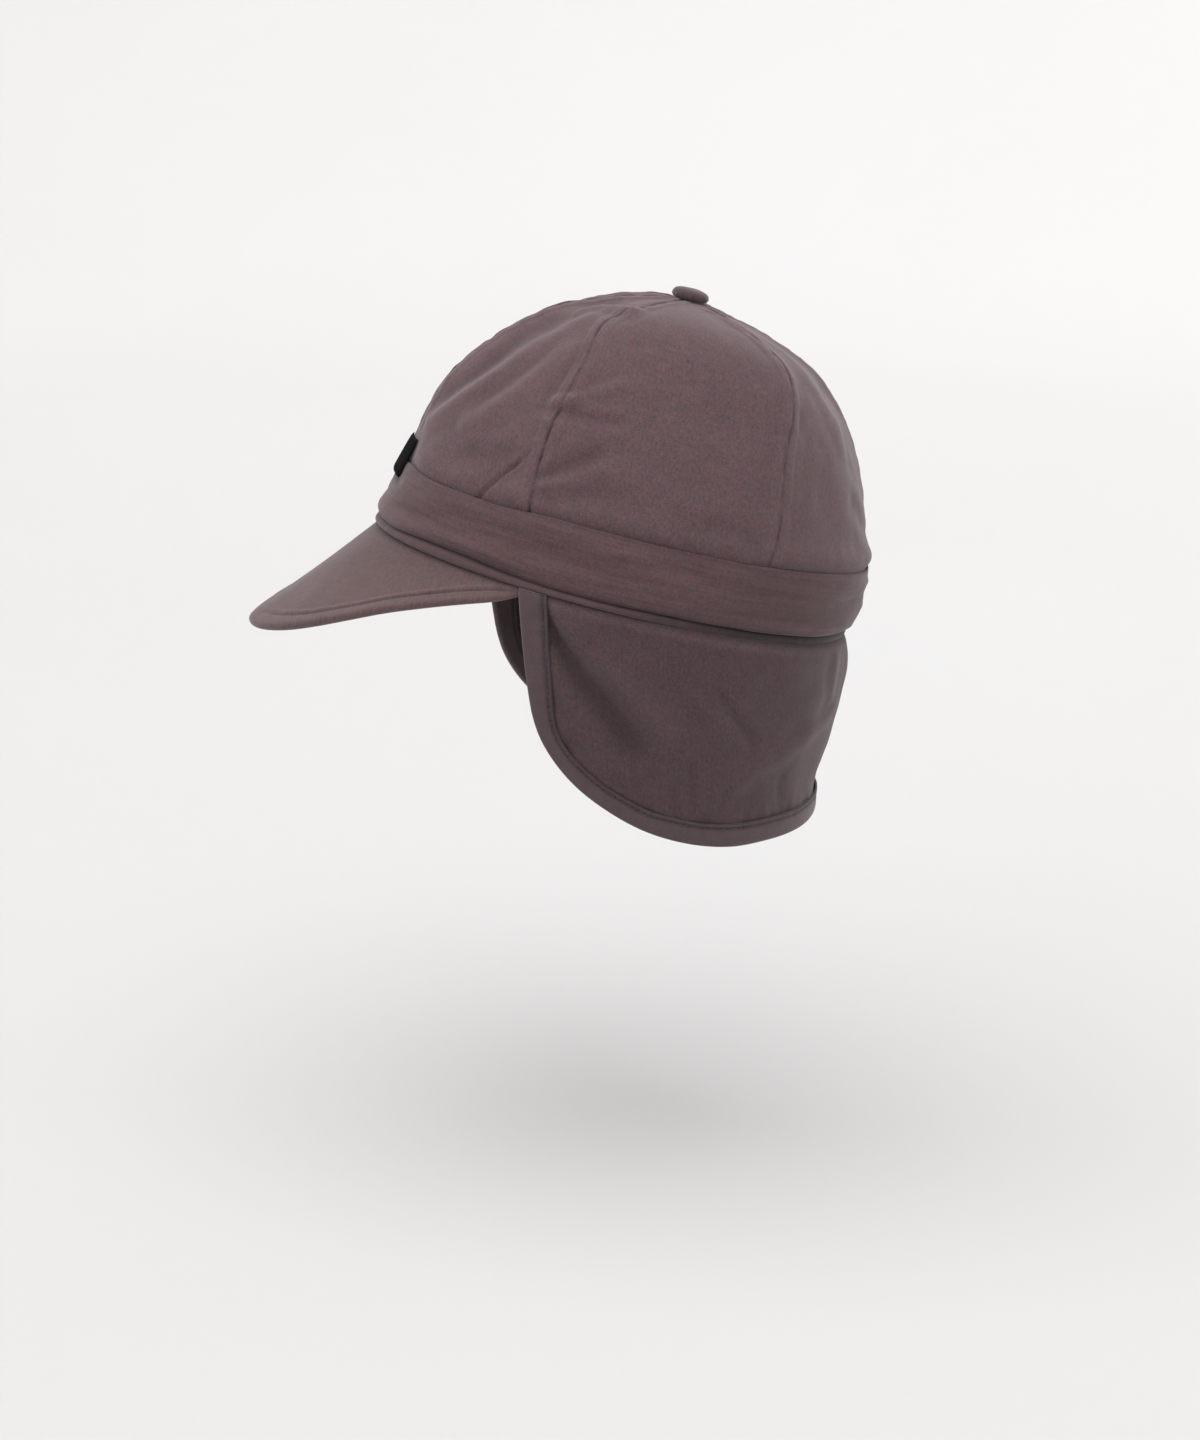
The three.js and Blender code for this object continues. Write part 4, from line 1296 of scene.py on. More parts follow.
        # Painted shade in the stitch ditch, at the root under the rolled seam and on the underside, and
        # painted highlight on the rolled rim and crimps.
        root_shade = bell(1.0 - up, 0.05) + 0.6 * bell(1.0 - up, 0.35)
        tone = self.ditch_shade_tone * ditch * room + 0.12 * roll + 0.03 * crimp + self.root_shade_tone * root_shade
        tone = np.where(on_top, tone, tone - 0.05)
        cloth = np.stack([points[..., 0], points[..., 1] * 1.4], axis=-1)
        piece = Piece.tube("peak_covered_board", self.form.tipped(points), cloth, tone)
        return settle(piece.to_object(PEAK_CLOTH.build()), "peak_cloth", "peak")


@dataclass
class Flap:
    """The wrap-around earflap and the tape that binds its edge."""

    form: HeadForm
    start: float = 63.0
    drop: float = 89.0
    wall: float = 2.0
    seam_reach: float = 2.4
    gap: float = 0.3
    front_to: float = -0.5
    back_from: float = 0.7
    tape_width: float = 9.5
    front_extra: float = 2.3
    tape_wall: float = 0.8
    ditch_inset: float = 1.65
    tape_crimp: float = 0.16
    tape_sway: float = 0.1
    crimp_at_tape: float = 0.36
    crimp_at_seam: float = 0.25
    fold_shading_tone: float = -0.075
    seam_shadow_tone: float = -0.3
    tape_shadow_tone: float = -0.38
    ditch_shade_tone: float = -0.46
    edge_shadow_tone: float = -0.45
    inner_tone: float = -0.1
    edge: tuple[tuple[float, float], ...] = (
        (-0.012, 0.0), (-0.0105, 0.25), (-0.004, 0.48), (0.004, 0.6), (0.02, 0.692), (0.053, 0.785),
        (0.103, 0.869), (0.178, 0.94), (0.26, 0.985), (0.36, 0.999), (0.474, 0.982), (0.606, 0.93),
        (0.74, 0.885), (0.87, 0.85), (1.0, 0.835),
    )
    straight_rows: int = 2
    hem_columns: int = 221
    rows: int = 90
    front_sections: int = 60
    hem_sections: int = 320
    hang: Table = table(
        "down side front back",
        (0.0, 0.0, 0.0, 0.0), (0.17, 0.004, 0.02, 0.002), (0.34, 0.014, 0.04, 0.04),
        (0.51, 0.028, 0.06, 0.074), (0.67, 0.044, 0.08, 0.118), (0.79, 0.056, 0.092, 0.132),
        (1.0, 0.072, 0.11, 0.136),
    )
    folds: tuple[Fold, ...] = (
        Fold(
            (
                (0.02, 0.05), (0.052, 0.152), (0.083, 0.249), (0.114, 0.332),
                (0.157, 0.415), (0.206, 0.53), (0.25, 0.66),
            ),
            2.4,
            3.9,
            6.5,
        ),
        Fold(((0.137, 0.193), (0.201, 0.296), (0.289, 0.439), (0.33, 0.56)), 6.0, -1.2, 8.0),
        Fold(((0.05, 0.03), (0.086, 0.07), (0.159, 0.14), (0.243, 0.185), (0.33, 0.22)), 4.0, -0.7, 6.0),
        Fold(((0.4, 0.22), (0.427, 0.282), (0.464, 0.363), (0.502, 0.437), (0.53, 0.5)), 1.7, 0.85, 2.8),
        Fold(((0.33, 0.24), (0.358, 0.292), (0.39, 0.35), (0.43, 0.432), (0.46, 0.5)), 2.4, -0.8, 3.2),
        Fold(
            ((0.87, 0.28), (0.796, 0.354), (0.672, 0.449), (0.552, 0.573), (0.468, 0.724)),
            5.5,
            -1.4,
            4.2,
            0.0,
        ),
        Fold(((0.366, 0.6), (0.37, 0.682), (0.375, 0.811), (0.378, 0.88)), 1.7, 0.6),
        Fold(((0.318, 0.73), (0.323, 0.784), (0.333, 0.842), (0.337, 0.89)), 1.7, 0.5),
        Fold(((0.222, 0.67), (0.231, 0.731), (0.241, 0.798), (0.246, 0.84)), 1.8, 0.5),
        Fold(((0.459, 0.7), (0.456, 0.761), (0.452, 0.821), (0.45, 0.87)), 1.8, 0.35),
        Fold(((0.63, 0.6), (0.635, 0.665), (0.64, 0.749), (0.642, 0.81)), 2.2, 0.25),
        Fold(((0.79, 0.0), (0.777, 0.142), (0.79, 0.3)), 4.0, -0.7),
        Fold(((0.87, 0.0), (0.86, 0.13), (0.88, 0.3)), 6.0, 0.6),
        Fold(((0.61, 0.58), (0.63, 0.7), (0.66, 0.83)), 5.5, 0.4),
        Fold(((1.0, 0.2), (1.05, 0.4), (1.02, 0.62)), 9.0, 1.0),
        Fold(((1.17, 0.05), (1.24, 0.25), (1.36, 0.5)), 6.0, 1.2, 8.0),
        Fold(((1.44, 0.3), (1.5, 0.5), (1.6, 0.72)), 5.5, -1.0),
        Fold(((1.95, 0.1), (1.9, 0.25), (1.83, 0.42), (1.77, 0.62)), 3.0, 2.2, 8.0),
        Fold(((1.72, 0.3), (1.66, 0.45), (1.62, 0.62)), 5.0, 0.8, 6.0),
    )

    def __post_init__(self) -> None:
        """Works out the seam's arc and the cut edge, a curve through its points with square-root steps."""
        turns = np.linspace(self.start - 2.0, 180.0, 400)
        arc = run_length(self.seam(turns), 0)
        arc = arc - np.interp(self.start, turns, arc)
        self.half = float(arc[-1])
        self._seam_turns, self._seam_shares = turns, arc / self.half
        knots = np.array(self.edge) * (self.half, self.drop)
        fine = self.through(knots)
        length = run_length(fine, 0)
        places = length / length[-1]
        self._edge_places, self._edge_points = places, fine
        self._edge_slopes = unit(np.gradient(fine, length, axis=0))
        self.straight = float(knots[self.straight_rows][1] / length[-1])
        self.edge_length = float(length[-1])

    @staticmethod
    def through(knots: Array, samples: int = 60) -> Array:
        """Smooth curve through points, a Catmull-Rom spline whose steps are square roots of distances.

        Args:
            knots: the points, one a row.
            samples: points made for each leg.

        Returns:
            The curve's points.
        """
        padded = np.concatenate([[2 * knots[0] - knots[1]], knots, [2 * knots[-1] - knots[-2]]])
        gaps = np.sqrt(np.linalg.norm(np.diff(padded, axis=0), axis=-1))
        t = np.linspace(0, 1, samples, endpoint=False)[None, :, None]
        p0, p1, p2, p3 = (padded[k : len(padded) - 3 + k][:, None, :] for k in range(4))
        d0, d1, d2 = (gaps[k : len(gaps) - 2 + k][:, None, None] for k in range(3))
        leave = ((p1 - p0) / d0 - (p2 - p0) / (d0 + d1) + (p2 - p1) / d1) * d1
        arrive = ((p2 - p1) / d1 - (p3 - p1) / (d1 + d2) + (p3 - p2) / d2) * d1
        bend = 2 * (p1 - p2) + leave + arrive
        curve = p1 + leave * t + (3 * (p2 - p1) - 2 * leave - arrive) * t**2 + bend * t**3
        return np.concatenate([curve.reshape(-1, 2), knots[-1:]])

    @staticmethod
    def other_side(place: Array, is_right: Array | bool) -> Array:
        """Place along the flap, or its mirror image past the middle of the back: 2 less the place."""
        return np.where(is_right, 2.0 - place, place)

    def seam(self, turn: Array) -> Array:
        """Point of the seam that the flap hangs from.

        Args:
            turn: angles round the head.

        Returns:
            Points in the frame of the model.
        """
        form = self.form
        point = form.plan(turn, form.half_length + self.seam_reach, form.half_width + self.seam_reach)
        point[..., 2] = -self.gap
        return form.tipped(point)

    def hung(self, along: Array, drop: Array) -> Array:
        """Point of the smooth hanging flap.

        It drops straight down from the seam, drawn in by the hang table's shares of its X and of its Y.

        Args:
            along: 0 at the left front corner, 1 at the middle of the back, 2 at the right front corner.
            drop: the way down in millimetres.

        Returns:
            Points in the frame of the model.
        """
        along, drop = np.broadcast_arrays(along, drop)
        near = self.other_side(along, along > 1.0)
        point = self.seam(np.interp(near, self._seam_shares, self._seam_turns))
        down = drop / self.drop
        side, front, back = (self.hang.read(name, down, "down") for name in ("side", "front", "back"))
        half = self.form.half_length
        behind = smoothstep(point[..., 1], self.front_to * half, self.back_from * half)
        x = point[..., 0] * (1.0 - side) * np.where(along > 1.0, -1.0, 1.0)
        y = point[..., 1] * (1.0 - lerp(front, back, behind))
        return np.stack([x, y, point[..., 2] - drop], axis=-1)

    @staticmethod
    def tuck(drop: Array) -> Array:
        """How far the flap and its tape are drawn in where they go under the rolled seam."""
        return 1.5 * np.exp(-np.maximum(drop, 0.0) / 2.0)

    def facing(self, along: Array, drop: Array) -> Array:
        """Outward normals of the smooth hanging flap."""
        return normals_of(lambda u, v: self.hung(u, -v), along, -np.asarray(drop), 0.002, 0.5)

    def stood_out(self, along: Array, drop: Array, out: Array) -> Array:
        """Points a given way out from the smooth flap, drawn in along the seam's tilted plane at the top.

        Args:
            along: places along the flap, from 0 to 2.
            drop: ways down in millimetres.
            out: ways out from the smooth hanging flap.

        Returns:
            Points in the frame of the model.
        """
        normal, tuck = self.facing(along, drop), self.tuck(drop)
        point = self.hung(along, drop) + (out - tuck)[..., None] * normal
        point[..., 2] += tuck * math.tan(math.radians(self.form.worn_tilt)) * normal[..., 1]
        return point

    def inside_edge(self, place: Array, inset: Array | float) -> Array:
        """Point of the flat cut flap a given way in from its edge.

        Args:
            place: share of the way round the edge, 0 at the front and 1 at the middle of the back.
            inset: the way in, square to the edge.

        Returns:
            Along in millimetres and drop in millimetres.
        """
        place = np.asarray(place, float)
        point = [np.interp(place, self._edge_places, self._edge_points[:, k]) for k in (0, 1)]
        slope = [np.interp(place, self._edge_places, self._edge_slopes[:, k]) for k in (0, 1)]
        inward_x = np.where(place <= 0.0, 1.0, np.where(place >= 1.0, 0.0, slope[1]))
        inward_y = np.where(place <= 0.0, 0.0, np.where(place >= 1.0, -1.0, -slope[0]))
        return np.stack([point[0] + inward_x * inset, point[1] + inward_y * inset], axis=-1)

    def widened(self, drop: Array) -> Array:
        """How much wider the tape lies down the flap's front edge."""
        return self.front_extra * (1.0 - smoothstep(drop / self.drop, 0.3, 0.78))

    def from_edge(self, flat: Array) -> Array:
        """Distance of points of the flat cut flap from its edge.

        Args:
            flat: along and drop in millimetres, on the last axis.

        Returns:
            The distance to the nearest leg of the edge's line.
        """
        line = self.inside_edge(np.linspace(0, 1, 130), 0.0)
        nearest = np.full(flat.shape[:-1], np.inf)
        for start, end in zip(line[:-1], line[1:]):
            nearest = np.minimum(nearest, to_leg(flat, start, end)[0])
        return nearest

    def folded(self, along: Array, share: Array) -> Array:
        """Smooth flap at places along it and shares of its drop, for the lines of the folds."""
        return self.hung(along, share * self.drop)

    def relief(self, along: Array, drop: Array) -> tuple[Array, Array]:
        """How far the flap's cloth stands out from the smooth hang, and its tone.

        Folds and dents fade out under the tape, the top is drawn in under the rolled seam, and the cloth
        is crimped beside the tape's inner edge and beside the seam.

        Args:
            along: places along the flap, from 0 to 2.
            drop: ways down in millimetres.

        Returns:
            The way out in millimetres, and the tone.
        """
        points = self.hung(along, drop)
        near = self.other_side(along, along > 1.0)
        flat = np.stack([near * self.half, drop], axis=-1)
        edge = self.from_edge(flat) - self.widened(drop)
        free = smoothstep(edge, self.tape_width - 2.5, self.tape_width + 3.5)
        fold = depth_of(self.folds, points, self.folded)
        dents = layered(points, Seed.FLAP_DENT, (27.0, 0.9), (11.0, 0.5))
        run = np.stack([along * self.half, drop], axis=-1)
        at_tape = soft_noise(run, (4.2, 9.0), Seed.FLAP_AT_TAPE) * bell(edge - self.tape_width, 5.0)
        at_seam = soft_noise(run, (4.5, 30.0), Seed.FLAP_AT_SEAM) * np.exp(-drop / 5.0)
        low = smoothstep(drop, 0.5, 9.0)
        relief = free * low * (dents - fold) + self.crimp_at_tape * at_tape * low
        relief = relief + self.crimp_at_seam * at_seam * low
        # Painted shade in fold valleys and painted highlight on fold ridges.
        tone = self.fold_shading_tone * np.clip(fold, -1.5, 3.0) * free
        # Painted shadow along the top, under the rolled seam.
        tone = tone + self.seam_shadow_tone * np.exp(-np.maximum(drop, 0.0) / 1.1)
        # Painted light on the crimps beside the tape, and painted shadow along the tape's inner edge.
        tone += 0.07 * at_tape + self.tape_shadow_tone * bell(edge - self.tape_width + 0.3, 1.0)
        # Painted highlight along the flap's top, just below the shadow of the rolled seam.
        tone += 0.25 * bell(drop - 3.0, 1.6)
        return relief, tone

    def build_flap(self) -> bpy.types.Object:
        """Builds the flap as a closed shell.

        Its columns start at the tape's inner fold along the hem and run straight up to the seam. The
        inner wall lies one wall in from the outer one along the smooth hang's normal.

        Returns:
            The flap.
        """
        tuck = self.tape_wall + self.gap
        hem = lerp(self.straight, 1.0, np.linspace(0, 1, self.hem_columns))
        column = np.concatenate([hem, (2.0 - hem[:-1])[::-1]])[:, None]
        foot = self.inside_edge(self.other_side(column, column > 1.0), tuck)
        rows = np.linspace(0, 1, self.rows)[None, :]
        rows = lerp(rows, rows**0.75, 0.4)
        drop = lerp(foot[..., 1], -0.36, rows)
        near = foot[..., 0] / self.half + 0.0 * rows
        along = self.other_side(near, column > 1.0)
        relief, tone = self.relief(along, drop)
        normal = self.facing(along, drop)
        outer = self.stood_out(along, drop, relief)
        inner = outer - self.wall * normal
        cloth = np.stack([along * self.half, -drop], axis=-1)
        piece = Piece.shell("earflap_cloth", outer, inner, cloth, tone, self.inner_tone)
        made = settle(piece.to_object(FLAP_CLOTH.build()), "flap_cloth", "earflap")
        across, down = foot[: len(hem), 0, 0], foot[: len(hem), 0, 1]
        area = float(np.sum(np.diff(across) * (down[1:] + down[:-1])))
        size = (2 * self.half, self.drop, area)
        log.info("flap cut: %.0f by %.0f mm, area %.0f mm2", *size)
        return made

    def edge_places(self) -> tuple[Array, Array]:
        """Places for the sections of the tape, from one front corner to the other.

        Returns:
            Places round the edge, and which of them are on the wearer's right.
        """
        front = np.linspace(0, self.straight, self.front_sections, endpoint=False)
        left = np.concatenate([front, np.linspace(self.straight, 1.0, self.hem_sections)])
        places = np.concatenate([left, left[-2::-1]])
        is_right = np.arange(len(places)) >= len(left)
        return places, is_right

    def on_tape(self, places: Array, is_right: Array, inset: Array, out: Array) -> Array:
        """Points on or beside the tape.

        Args:
            places: places round the edge.
            is_right: which of them are on the wearer's right.
            inset: the way in from the edge.
            out: the way out from the flap's smooth outer side.

        Returns:
            Points in the frame of the model.
        """
        flat = self.inside_edge(places, inset)
        return self.stood_out(self.other_side(flat[..., 0] / self.half, is_right), flat[..., 1], out)

    def build_tape(self) -> bpy.types.Object:
        """Builds the binding: a folded tape round the edge, a closed section carried along it.

        The section's outer line runs from the tape's inner edge on the outside, with a raised lip and the
        ditch of the stitching, round the fold to the inner edge on the inside. It comes back along the
        inner line, which clears the flap by the gap.

        Returns:
            The binding.
        """
        places, is_right = self.edge_places()
        wall, width = self.tape_wall, self.tape_width
        lip = [(0.0, 0.3), (0.15, 0.85), (0.6, 1.18), (1.2, 1.1)]
        lip += [(self.ditch_inset, 0.62), (2.15, 1.0), (3.2, 1.18)]
        outside = [(width - a, self.gap + wall * b) for a, b in lip]
        outside += [(4.0, self.gap + 1.2 * wall), (1.9, self.gap + 1.12 * wall)]
        fold = self.wall / 2 + self.gap + 0.9 * wall
        angle = np.linspace(np.pi * 0.42, 0.0, 6)
        turn = [(1.0 - 1.45 * math.cos(a), fold * math.sin(a) ** 0.8) for a in angle]
        upper = np.array(outside + [(inset, out - self.wall / 2) for inset, out in turn])
        lower = np.stack([upper[:, 0], -self.wall - upper[:, 1]], axis=-1)[-2::-1]
        back_leaf = np.array([(width, -self.wall - self.gap), (wall + 0.4, -self.wall - self.gap)])
        front_leaf = np.array([(wall + 0.4, self.gap), (width - 0.1, self.gap * 0.9)])
        section = np.concatenate([upper, lower, back_leaf, front_leaf])
        arc = np.interp(places, self._edge_places, self._edge_places * self.edge_length)
        arc = np.where(is_right, 2 * self.edge_length - arc, arc)[:, None]
        inset = section[None, :, 0]
        run = np.stack([arc + 0 * inset, inset + 0 * arc], axis=-1)
        crimp = soft_noise(run, (3.4, 6.0), Seed.TAPE_CRIMP) * bell(inset - (width - 2.0), 2.5)
        sway = 0.5 * soft_noise(run, (19.0, 30.0), Seed.TAPE_SWAY)
        is_outside = section[:, 1] > self.gap * 1.2
        is_inside = section[:, 1] < -self.wall - 0.5
        shown = is_outside.astype(float) - is_inside
        out = section[None, :, 1] + shown[None, :] * (self.tape_crimp * crimp + self.tape_sway * sway)
        extra = self.widened(self.inside_edge(places, 0.0)[:, 1:])
        sway_in = 0.25 * soft_noise(run[..., :1], (12.0,), Seed.TAPE_WIDTH)
        wobble = inset + (extra + sway_in) * smoothstep(inset, 3.0, 8.0)
        points = self.on_tape(places[:, None], is_right[:, None], wobble, out)
        ditch = bell(inset - (width - self.ditch_inset), 0.8)
        # Painted shade in the stitching's ditch and painted shadow along the tape's inner edge.
        tone = self.ditch_shade_tone * ditch + self.edge_shadow_tone * bell(inset - width, 0.5)
        # Painted highlight on the raised lip.
        tone = tone + 0.08 * bell(inset - (width - 0.8), 0.5)
        # Painted light on the crimps and a painted highlight along the folded outer edge.
        tone = tone + 0.05 * crimp + 0.05 * bell(inset, 1.0)
        piece = Piece.tube("flap_binding_tape", points, run[..., ::-1], tone)
        return settle(piece.to_object(BINDING_CLOTH.build()), "binding_cloth", "flap_binding")

    def build_stitches(self) -> bpy.types.Object:
        """Builds the stitching along the tape's inner edge, in the ditch beside its lip.

        Returns:
            The stitching.
        """
        places, is_right = self.edge_places()
        inset = self.tape_width - self.ditch_inset + self.widened(self.inside_edge(places, 0.0)[:, 1])
        out = np.full(places.shape, self.gap + 0.86 * self.tape_wall)
        path = self.on_tape(places, is_right, inset, out)
        flat = self.inside_edge(places, inset)
        along = self.other_side(flat[..., 0] / self.half, is_right)
        normal = self.facing(along, np.maximum(flat[..., 1], self.gap))
        made = StitchRow().build("binding_stitches", path, normal, THREAD.build())
        return settle(made, "binding_cloth")

    def build(self) -> list[bpy.types.Object]:
        """Builds the flap, its binding and the stitching."""
        return [self.build_flap(), self.build_tape(), self.build_stitches()]


@dataclass
class StitchRow:
    """A row of stitches, each a small rounded bar that dips into the cloth at both ends."""

    pitch: float = 2.8
    length: float = 2.0
    width: float = 0.45
    sides: int = 6

    def build(
        self, name: str, path: Array, normal: Array, material: bpy.types.Material
    ) -> bpy.types.Object:
        """Lays the stitches along a path as one joined mesh.

        Args:
            name: name of the piece.
            path: points of the path.
            normal: outward normals at those points.
            material: the thread.

        Returns:
            The stitches.
        """
        arc = run_length(path, 0)
        middle = np.arange(self.pitch, arc[-1] - self.pitch, self.pitch)

        def at(values: Array, where: Array) -> Array:
            """Values of the path at lengths along it."""
            return np.stack([np.interp(where, arc, values[:, k]) for k in range(3)], axis=-1)

        centre = at(path, middle)
        ahead = unit(at(path, middle + self.length / 2) - at(path, middle - self.length / 2))
        out = at(normal, middle)
        out = unit(out - np.einsum("ij,ij->i", out, ahead)[:, None] * ahead)
        aside = np.cross(ahead, out)
        station = np.array([-1.0, -0.7, 0.0, 0.7, 1.0])
        thick = np.array([0.35, 0.85, 1.0, 0.85, 0.35]) * self.width / 2
        angle = np.arange(self.sides) * math.tau / self.sides
        forward = (station * self.length / 2)[:, None] + 0 * angle[None, :]
        lift = (0.35 * self.width * (1 - 1.4 * station**2))[:, None] + thick[:, None] * np.sin(angle) * 0.8
        across = thick[:, None] * np.cos(angle)
        points = (
            centre[:, None, None, :]
            + forward[None, :, :, None] * ahead[:, None, None, :]
            + lift[None, :, :, None] * out[:, None, None, :]
            + across[None, :, :, None] * aside[:, None, None, :]
        )
        count, per = len(middle), len(station) * self.sides
        one = tube_quads(len(station), self.sides, False)
        quads = (one[None] + (np.arange(count) * per)[:, None, None]).reshape(-1, 4)
        first = np.arange(self.sides)[::-1]
        last = np.arange(per - self.sides, per)
        caps = np.stack([first, last])[None] + (np.arange(count) * per)[:, None, None]
        cloth = np.stack([forward + 0 * across, across], axis=-1)
        piece = Piece(
            name=name,
            points=points.reshape(-1, 3),
            quads=quads,
            cloth=np.tile(cloth.reshape(-1, 2), (count, 1)),
            tone=np.zeros(count * per),
            caps=caps.reshape(-1, self.sides).tolist(),
        )
        return piece.to_object(material)


@dataclass
class Button:
    """The cloth-covered button on the top of the crown."""

    form: HeadForm
    diameter: float = 15.2
    height: float = 5.0
    gap: float = 0.3
    around: int = 96
    rows: int = 46
    outline: Table = table(
        "out up",
        (0.02, 0.0), (0.55, 0.0), (0.8, 0.02), (0.95, 0.16), (1.0, 0.38), (0.955, 0.64),
        (0.82, 0.82), (0.55, 0.95), (0.25, 0.995), (0.02, 1.0),
    )

    def build(self) -> bpy.types.Object:
        """Builds the button: the outline turned round its axis, with soft gathers under its rim.

        Returns:
            The button.
        """
        place = np.linspace(0, self.outline.columns["place"][-1], self.rows)[:, None]
        angle = (np.arange(self.around) * math.tau / self.around)[None, :]
        out = self.outline.read("out", place) * self.diameter / 2
        up = self.outline.read("up", place) * self.height
        ring = np.stack([np.cos(angle), np.sin(angle)], axis=-1) * np.ones_like(out)[..., None]
        gathers = soft_noise(ring * 6.0, 1.0, Seed.BUTTON_GATHER) * bell(place - 3.6, 1.3)
        bulge = 0.15 * soft_noise(ring * out[..., None], 3.5, Seed.BUTTON_BULGE)
        out = out * (1.0 + 0.035 * gathers) + 0 * angle
        x, y = out * np.cos(angle), out * np.sin(angle)
        lean = float(self.form.sections.columns["lean"][-1]) * self.form.half_length
        foot = float(self.form.sections.columns["height"][-1]) * self.form.crown_height + self.gap
        points = np.stack([x, y + lean, up + foot + bulge * smoothstep(up, 1.0, 4.0)], axis=-1)
        # Painted shade on the button's underside and lower rim, where it sits on the crown, and painted
        # light on the gathers.
        tone = 0.05 * gathers - 0.3 * bell(place, 2.2) + 0 * angle
        cloth = np.stack([x, y], axis=-1)
        piece = Piece.tube("crown_button_covered", self.form.tipped(points), cloth, tone)
        return settle(piece.to_object(BUTTON_CLOTH.build()), "button_cloth", "crown_button")


@dataclass
class Label:
    """The small bare patch that laps from the band on to the crown at the front."""

    form: HeadForm
    band_top: float = 30.0
    width: float = 20.4
    height: float = 16.6
    above: float = 8.5
    wall: float = 0.75
    foot_wall: float = 1.5
    on_band: float = 2.3
    on_crown: float = 0.4
    columns: int = 73
    rows: int = 49

    def build(self) -> bpy.types.Object:
        """Builds the patch as a closed shell whose border is rounded off.

        Its back leans in a straight line from the band's face in to the crown's. Its front stands one wall
        off the back, thicker at the folded foot, and falls to a quarter of that at the border.

        Returns:
            The patch.
        """
        form = self.form
        radius = math.radians(1.0) * form.half_width * (1.0 - form.front_narrowing)
        across = np.linspace(-1, 1, self.columns)[None, :]
        up = np.linspace(-1, 1, self.rows)[:, None]
        top = self.band_top + self.above
        height = top - self.height / 2 + up * self.height / 2 + 0 * across
        corner = 1.0 - 0.012 * (np.abs(up) ** 6)
        turn = across * corner * self.width / 2 / radius
        lean = 0.5 + 0.5 * up + 0 * across
        back = lerp(self.on_band, self.on_crown, lean)
        flat = np.stack([across * self.width / 2 + 0 * up, height], axis=-1)
        back = back + 0.12 * soft_noise(flat, 8.0, Seed.LABEL_BULGE)
        border = np.maximum(np.abs(across) ** 14, np.abs(up) ** 10)
        ribs = 0.05 * bell(np.minimum(1 - np.abs(across) + 0 * up, 1 - np.abs(up) + 0 * across) - 0.1, 0.03)
        front = back + lerp(self.foot_wall, self.wall, lean) * (1.0 - 0.75 * border) + ribs
        outer = form.beside(turn, height, front)
        inner = form.beside(turn, height, back)
        walls = form.tipped(outer), form.tipped(inner)
        piece = Piece.shell("front_label_patch", *walls, flat, np.zeros(height.shape), 0.0)
        return settle(piece.to_object(LABEL_CLOTH.build()), "label_cloth", "front_label")


@dataclass(frozen=True)
class SoftLight:
    """A rectangular lamp aimed at the cap."""

    name: str
    place: tuple[float, float, float]
    size: tuple[float, float]
    watts: float
    colour: tuple[float, float, float] = (1.0, 1.0, 1.0)

    def build(self, target: Vector) -> bpy.types.Object:
        """Makes the lamp.

        Args:
            target: the place that it shines at.

        Returns:
            The lamp.
        """
        lamp = bpy.data.lights.new(self.name, "AREA")
        lamp.shape = "RECTANGLE"
        lamp.size, lamp.size_y = self.size
        lamp.energy = self.watts
        lamp.color = self.colour
        made = put_in_scene(self.name, lamp, target - Vector(self.place))
        made.location = self.place
        return made


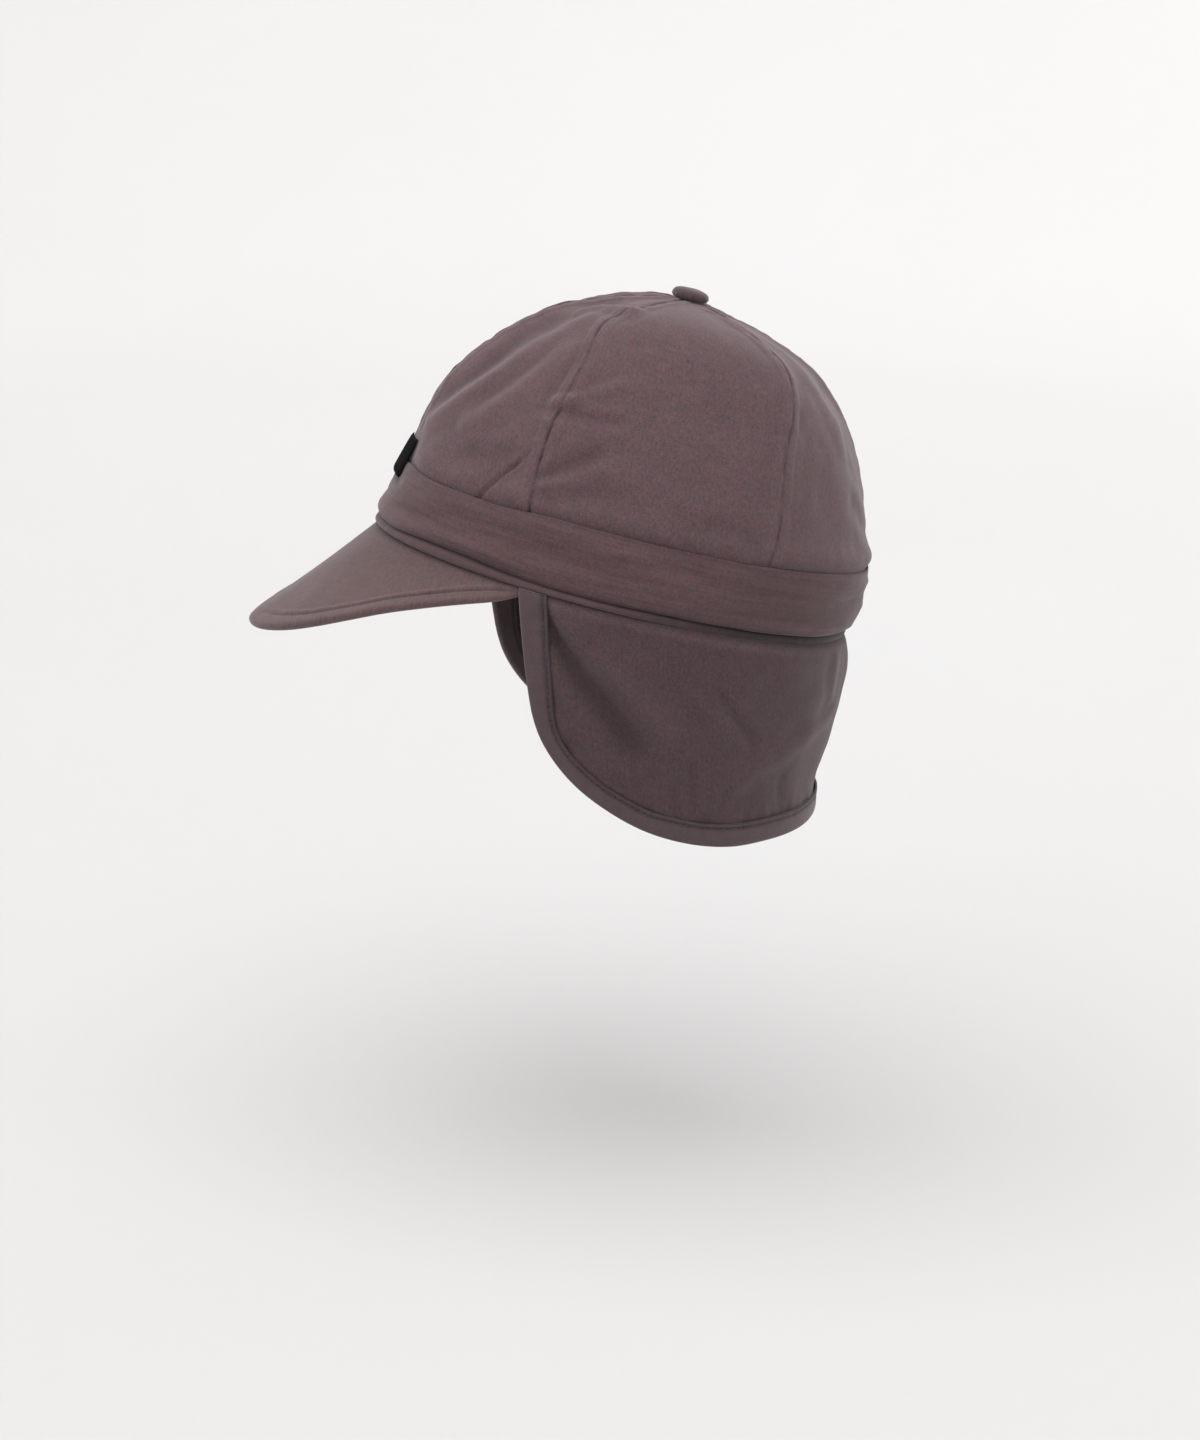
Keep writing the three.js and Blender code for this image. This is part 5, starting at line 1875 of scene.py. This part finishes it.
@dataclass
class Studio:
    """Plain pale floor that curves up behind, soft light, and the camera at the photo's angle."""

    azimuth: float = 82.5
    elevation: float = 15.1
    focal_pixels: float = 3080.0
    distance: float = 1.2936
    image_size: tuple[int, int] = (1200, 1440)
    origin_pixel: tuple[float, float] = (612.3, 574.3)
    sensor: float = 36.0
    floor_height: float = -0.248
    floor_radius: float = 6.0
    floor_flat: float = 2.2
    floor_rise: float = 0.35
    floor_rings: int = 60
    floor_sides: int = 96
    sky: float = 0.5
    ceiling: float = 3.65
    ceiling_from: tuple[float, float, float] = (0.35, -0.35, 0.87)
    ceiling_spread: float = 95.0
    lit_place: tuple[float, float, float] = (0.0, 0.0, 0.03)
    lamps: tuple[SoftLight, ...] = (
        SoftLight("front_window", (1.6, -1.9, 0.9), (1.6, 1.6), 10.0, (1.0, 0.985, 0.965)),
        SoftLight("back_fill", (0.8, 2.2, 0.8), (1.6, 1.6), 6.0, (0.93, 0.97, 1.0)),
    )

    def build_camera(self) -> bpy.types.Object:
        """Places the camera so that the model's origin falls on its pixel of the photo's frame.

        Returns:
            The camera.
        """
        azimuth, elevation = math.radians(self.azimuth), math.radians(self.elevation)
        back = Vector(
            (
                math.sin(azimuth) * math.cos(elevation),
                -math.cos(azimuth) * math.cos(elevation),
                math.sin(elevation),
            )
        )
        right = Vector((math.cos(azimuth), math.sin(azimuth), 0.0))
        up = back.cross(right)
        off_x = (self.origin_pixel[0] - self.image_size[0] / 2) / self.focal_pixels
        off_y = (self.image_size[1] / 2 - self.origin_pixel[1]) / self.focal_pixels
        lens = bpy.data.cameras.new("studio_camera")
        lens.sensor_width = self.sensor
        lens.lens = self.sensor * self.focal_pixels / max(self.image_size)
        lens.clip_start, lens.clip_end = 0.05, 50.0
        camera = put_in_scene("studio_camera", lens)
        camera.rotation_mode = "QUATERNION"
        camera.rotation_quaternion = Matrix((right, up, back)).transposed().to_quaternion()
        camera.location = self.distance * (back - off_x * right - off_y * up)
        bpy.context.scene.camera = camera
        return camera

    def build_floor(self) -> bpy.types.Object:
        """Makes the floor: a wide shallow bowl, flat in the middle and rising by the square beyond.

        Returns:
            The floor.
        """
        ring = (np.linspace(0, 1, self.floor_rings) ** 1.5)[:, None] * self.floor_radius + 0.001
        angle = (np.arange(self.floor_sides) * math.tau / self.floor_sides)[None, :]
        rise = self.floor_height + self.floor_rise * np.maximum(ring - self.floor_flat, 0.0) ** 2
        points = np.stack([ring * np.cos(angle), ring * np.sin(angle), rise + 0 * angle], axis=-1)
        mesh = bpy.data.meshes.new("studio_floor")
        index = np.arange(points[..., 0].size).reshape(points.shape[:2])
        quads = grid_quads(np.concatenate([index, index[:, :1]], axis=1))
        mesh.from_pydata(points.reshape(-1, 3).tolist(), [], quads.tolist() + [index[0].tolist()])
        mesh.shade_smooth()
        board = NodeBoard("studio_paper")
        place = board.add("TexCoord").outputs["Object"]
        grain = board.add("TexNoise", {"Vector": place, "Scale": 1.4, "Detail": 2.0}).outputs["Fac"]
        paper = board.add(
            "Mix",
            {0: grain, 6: linear((204, 202, 200)), 7: linear((205, 205, 206))},
            data_type="RGBA",
        ).outputs[2]
        matt = {"Base Color": paper, "Roughness": 0.95, "Specular IOR Level": 0.1}
        shader = board.add("BsdfPrincipled", matt)
        board.add("OutputMaterial", {"Surface": shader.outputs[0]})
        mesh.materials.append(board.material)
        floor = put_in_scene("studio_floor", mesh)
        return floor

    def build_ceiling(self) -> bpy.types.Object:
        """Makes the wide overhead light, the same everywhere on the floor and very soft.

        Returns:
            The light.
        """
        lamp = bpy.data.lights.new("ceiling_light", "SUN")
        lamp.energy = self.ceiling
        lamp.angle = math.radians(self.ceiling_spread)
        return put_in_scene("ceiling_light", lamp, -Vector(self.ceiling_from))

    def build(self) -> None:
        """Sets camera, floor, sky and lamps."""
        scene = bpy.context.scene
        scene.view_settings.view_transform = "Standard"
        world = bpy.data.worlds.new("studio_sky")
        world.use_nodes = True
        background = world.node_tree.nodes["Background"]
        background.inputs["Color"].default_value = (1.0, 0.99, 0.985, 1.0)
        background.inputs["Strength"].default_value = self.sky
        scene.world = world
        self.build_camera()
        self.build_floor()
        self.build_ceiling()
        for lamp in self.lamps:
            lamp.build(Vector(self.lit_place))
        log.info("studio: %d lamps", len(self.lamps))


def corners(box: tuple[Vector, Vector]) -> list[list[float]]:
    """A box's two corners as plain lists of numbers."""
    return [list(corner) for corner in box]


def main() -> None:
    """Builds the cap piece by piece, then the studio."""
    logging.basicConfig(level=logging.INFO, format="%(name)s: %(message)s")
    form = HeadForm()
    Crown(form).build()
    band = Band(form)
    band.build_band()
    band.build_piping()
    Peak(form).build()
    Button(form).build()
    Label(form).build()
    Flap(form).build()
    Studio().build()


if __name__ == "__main__":
    main()
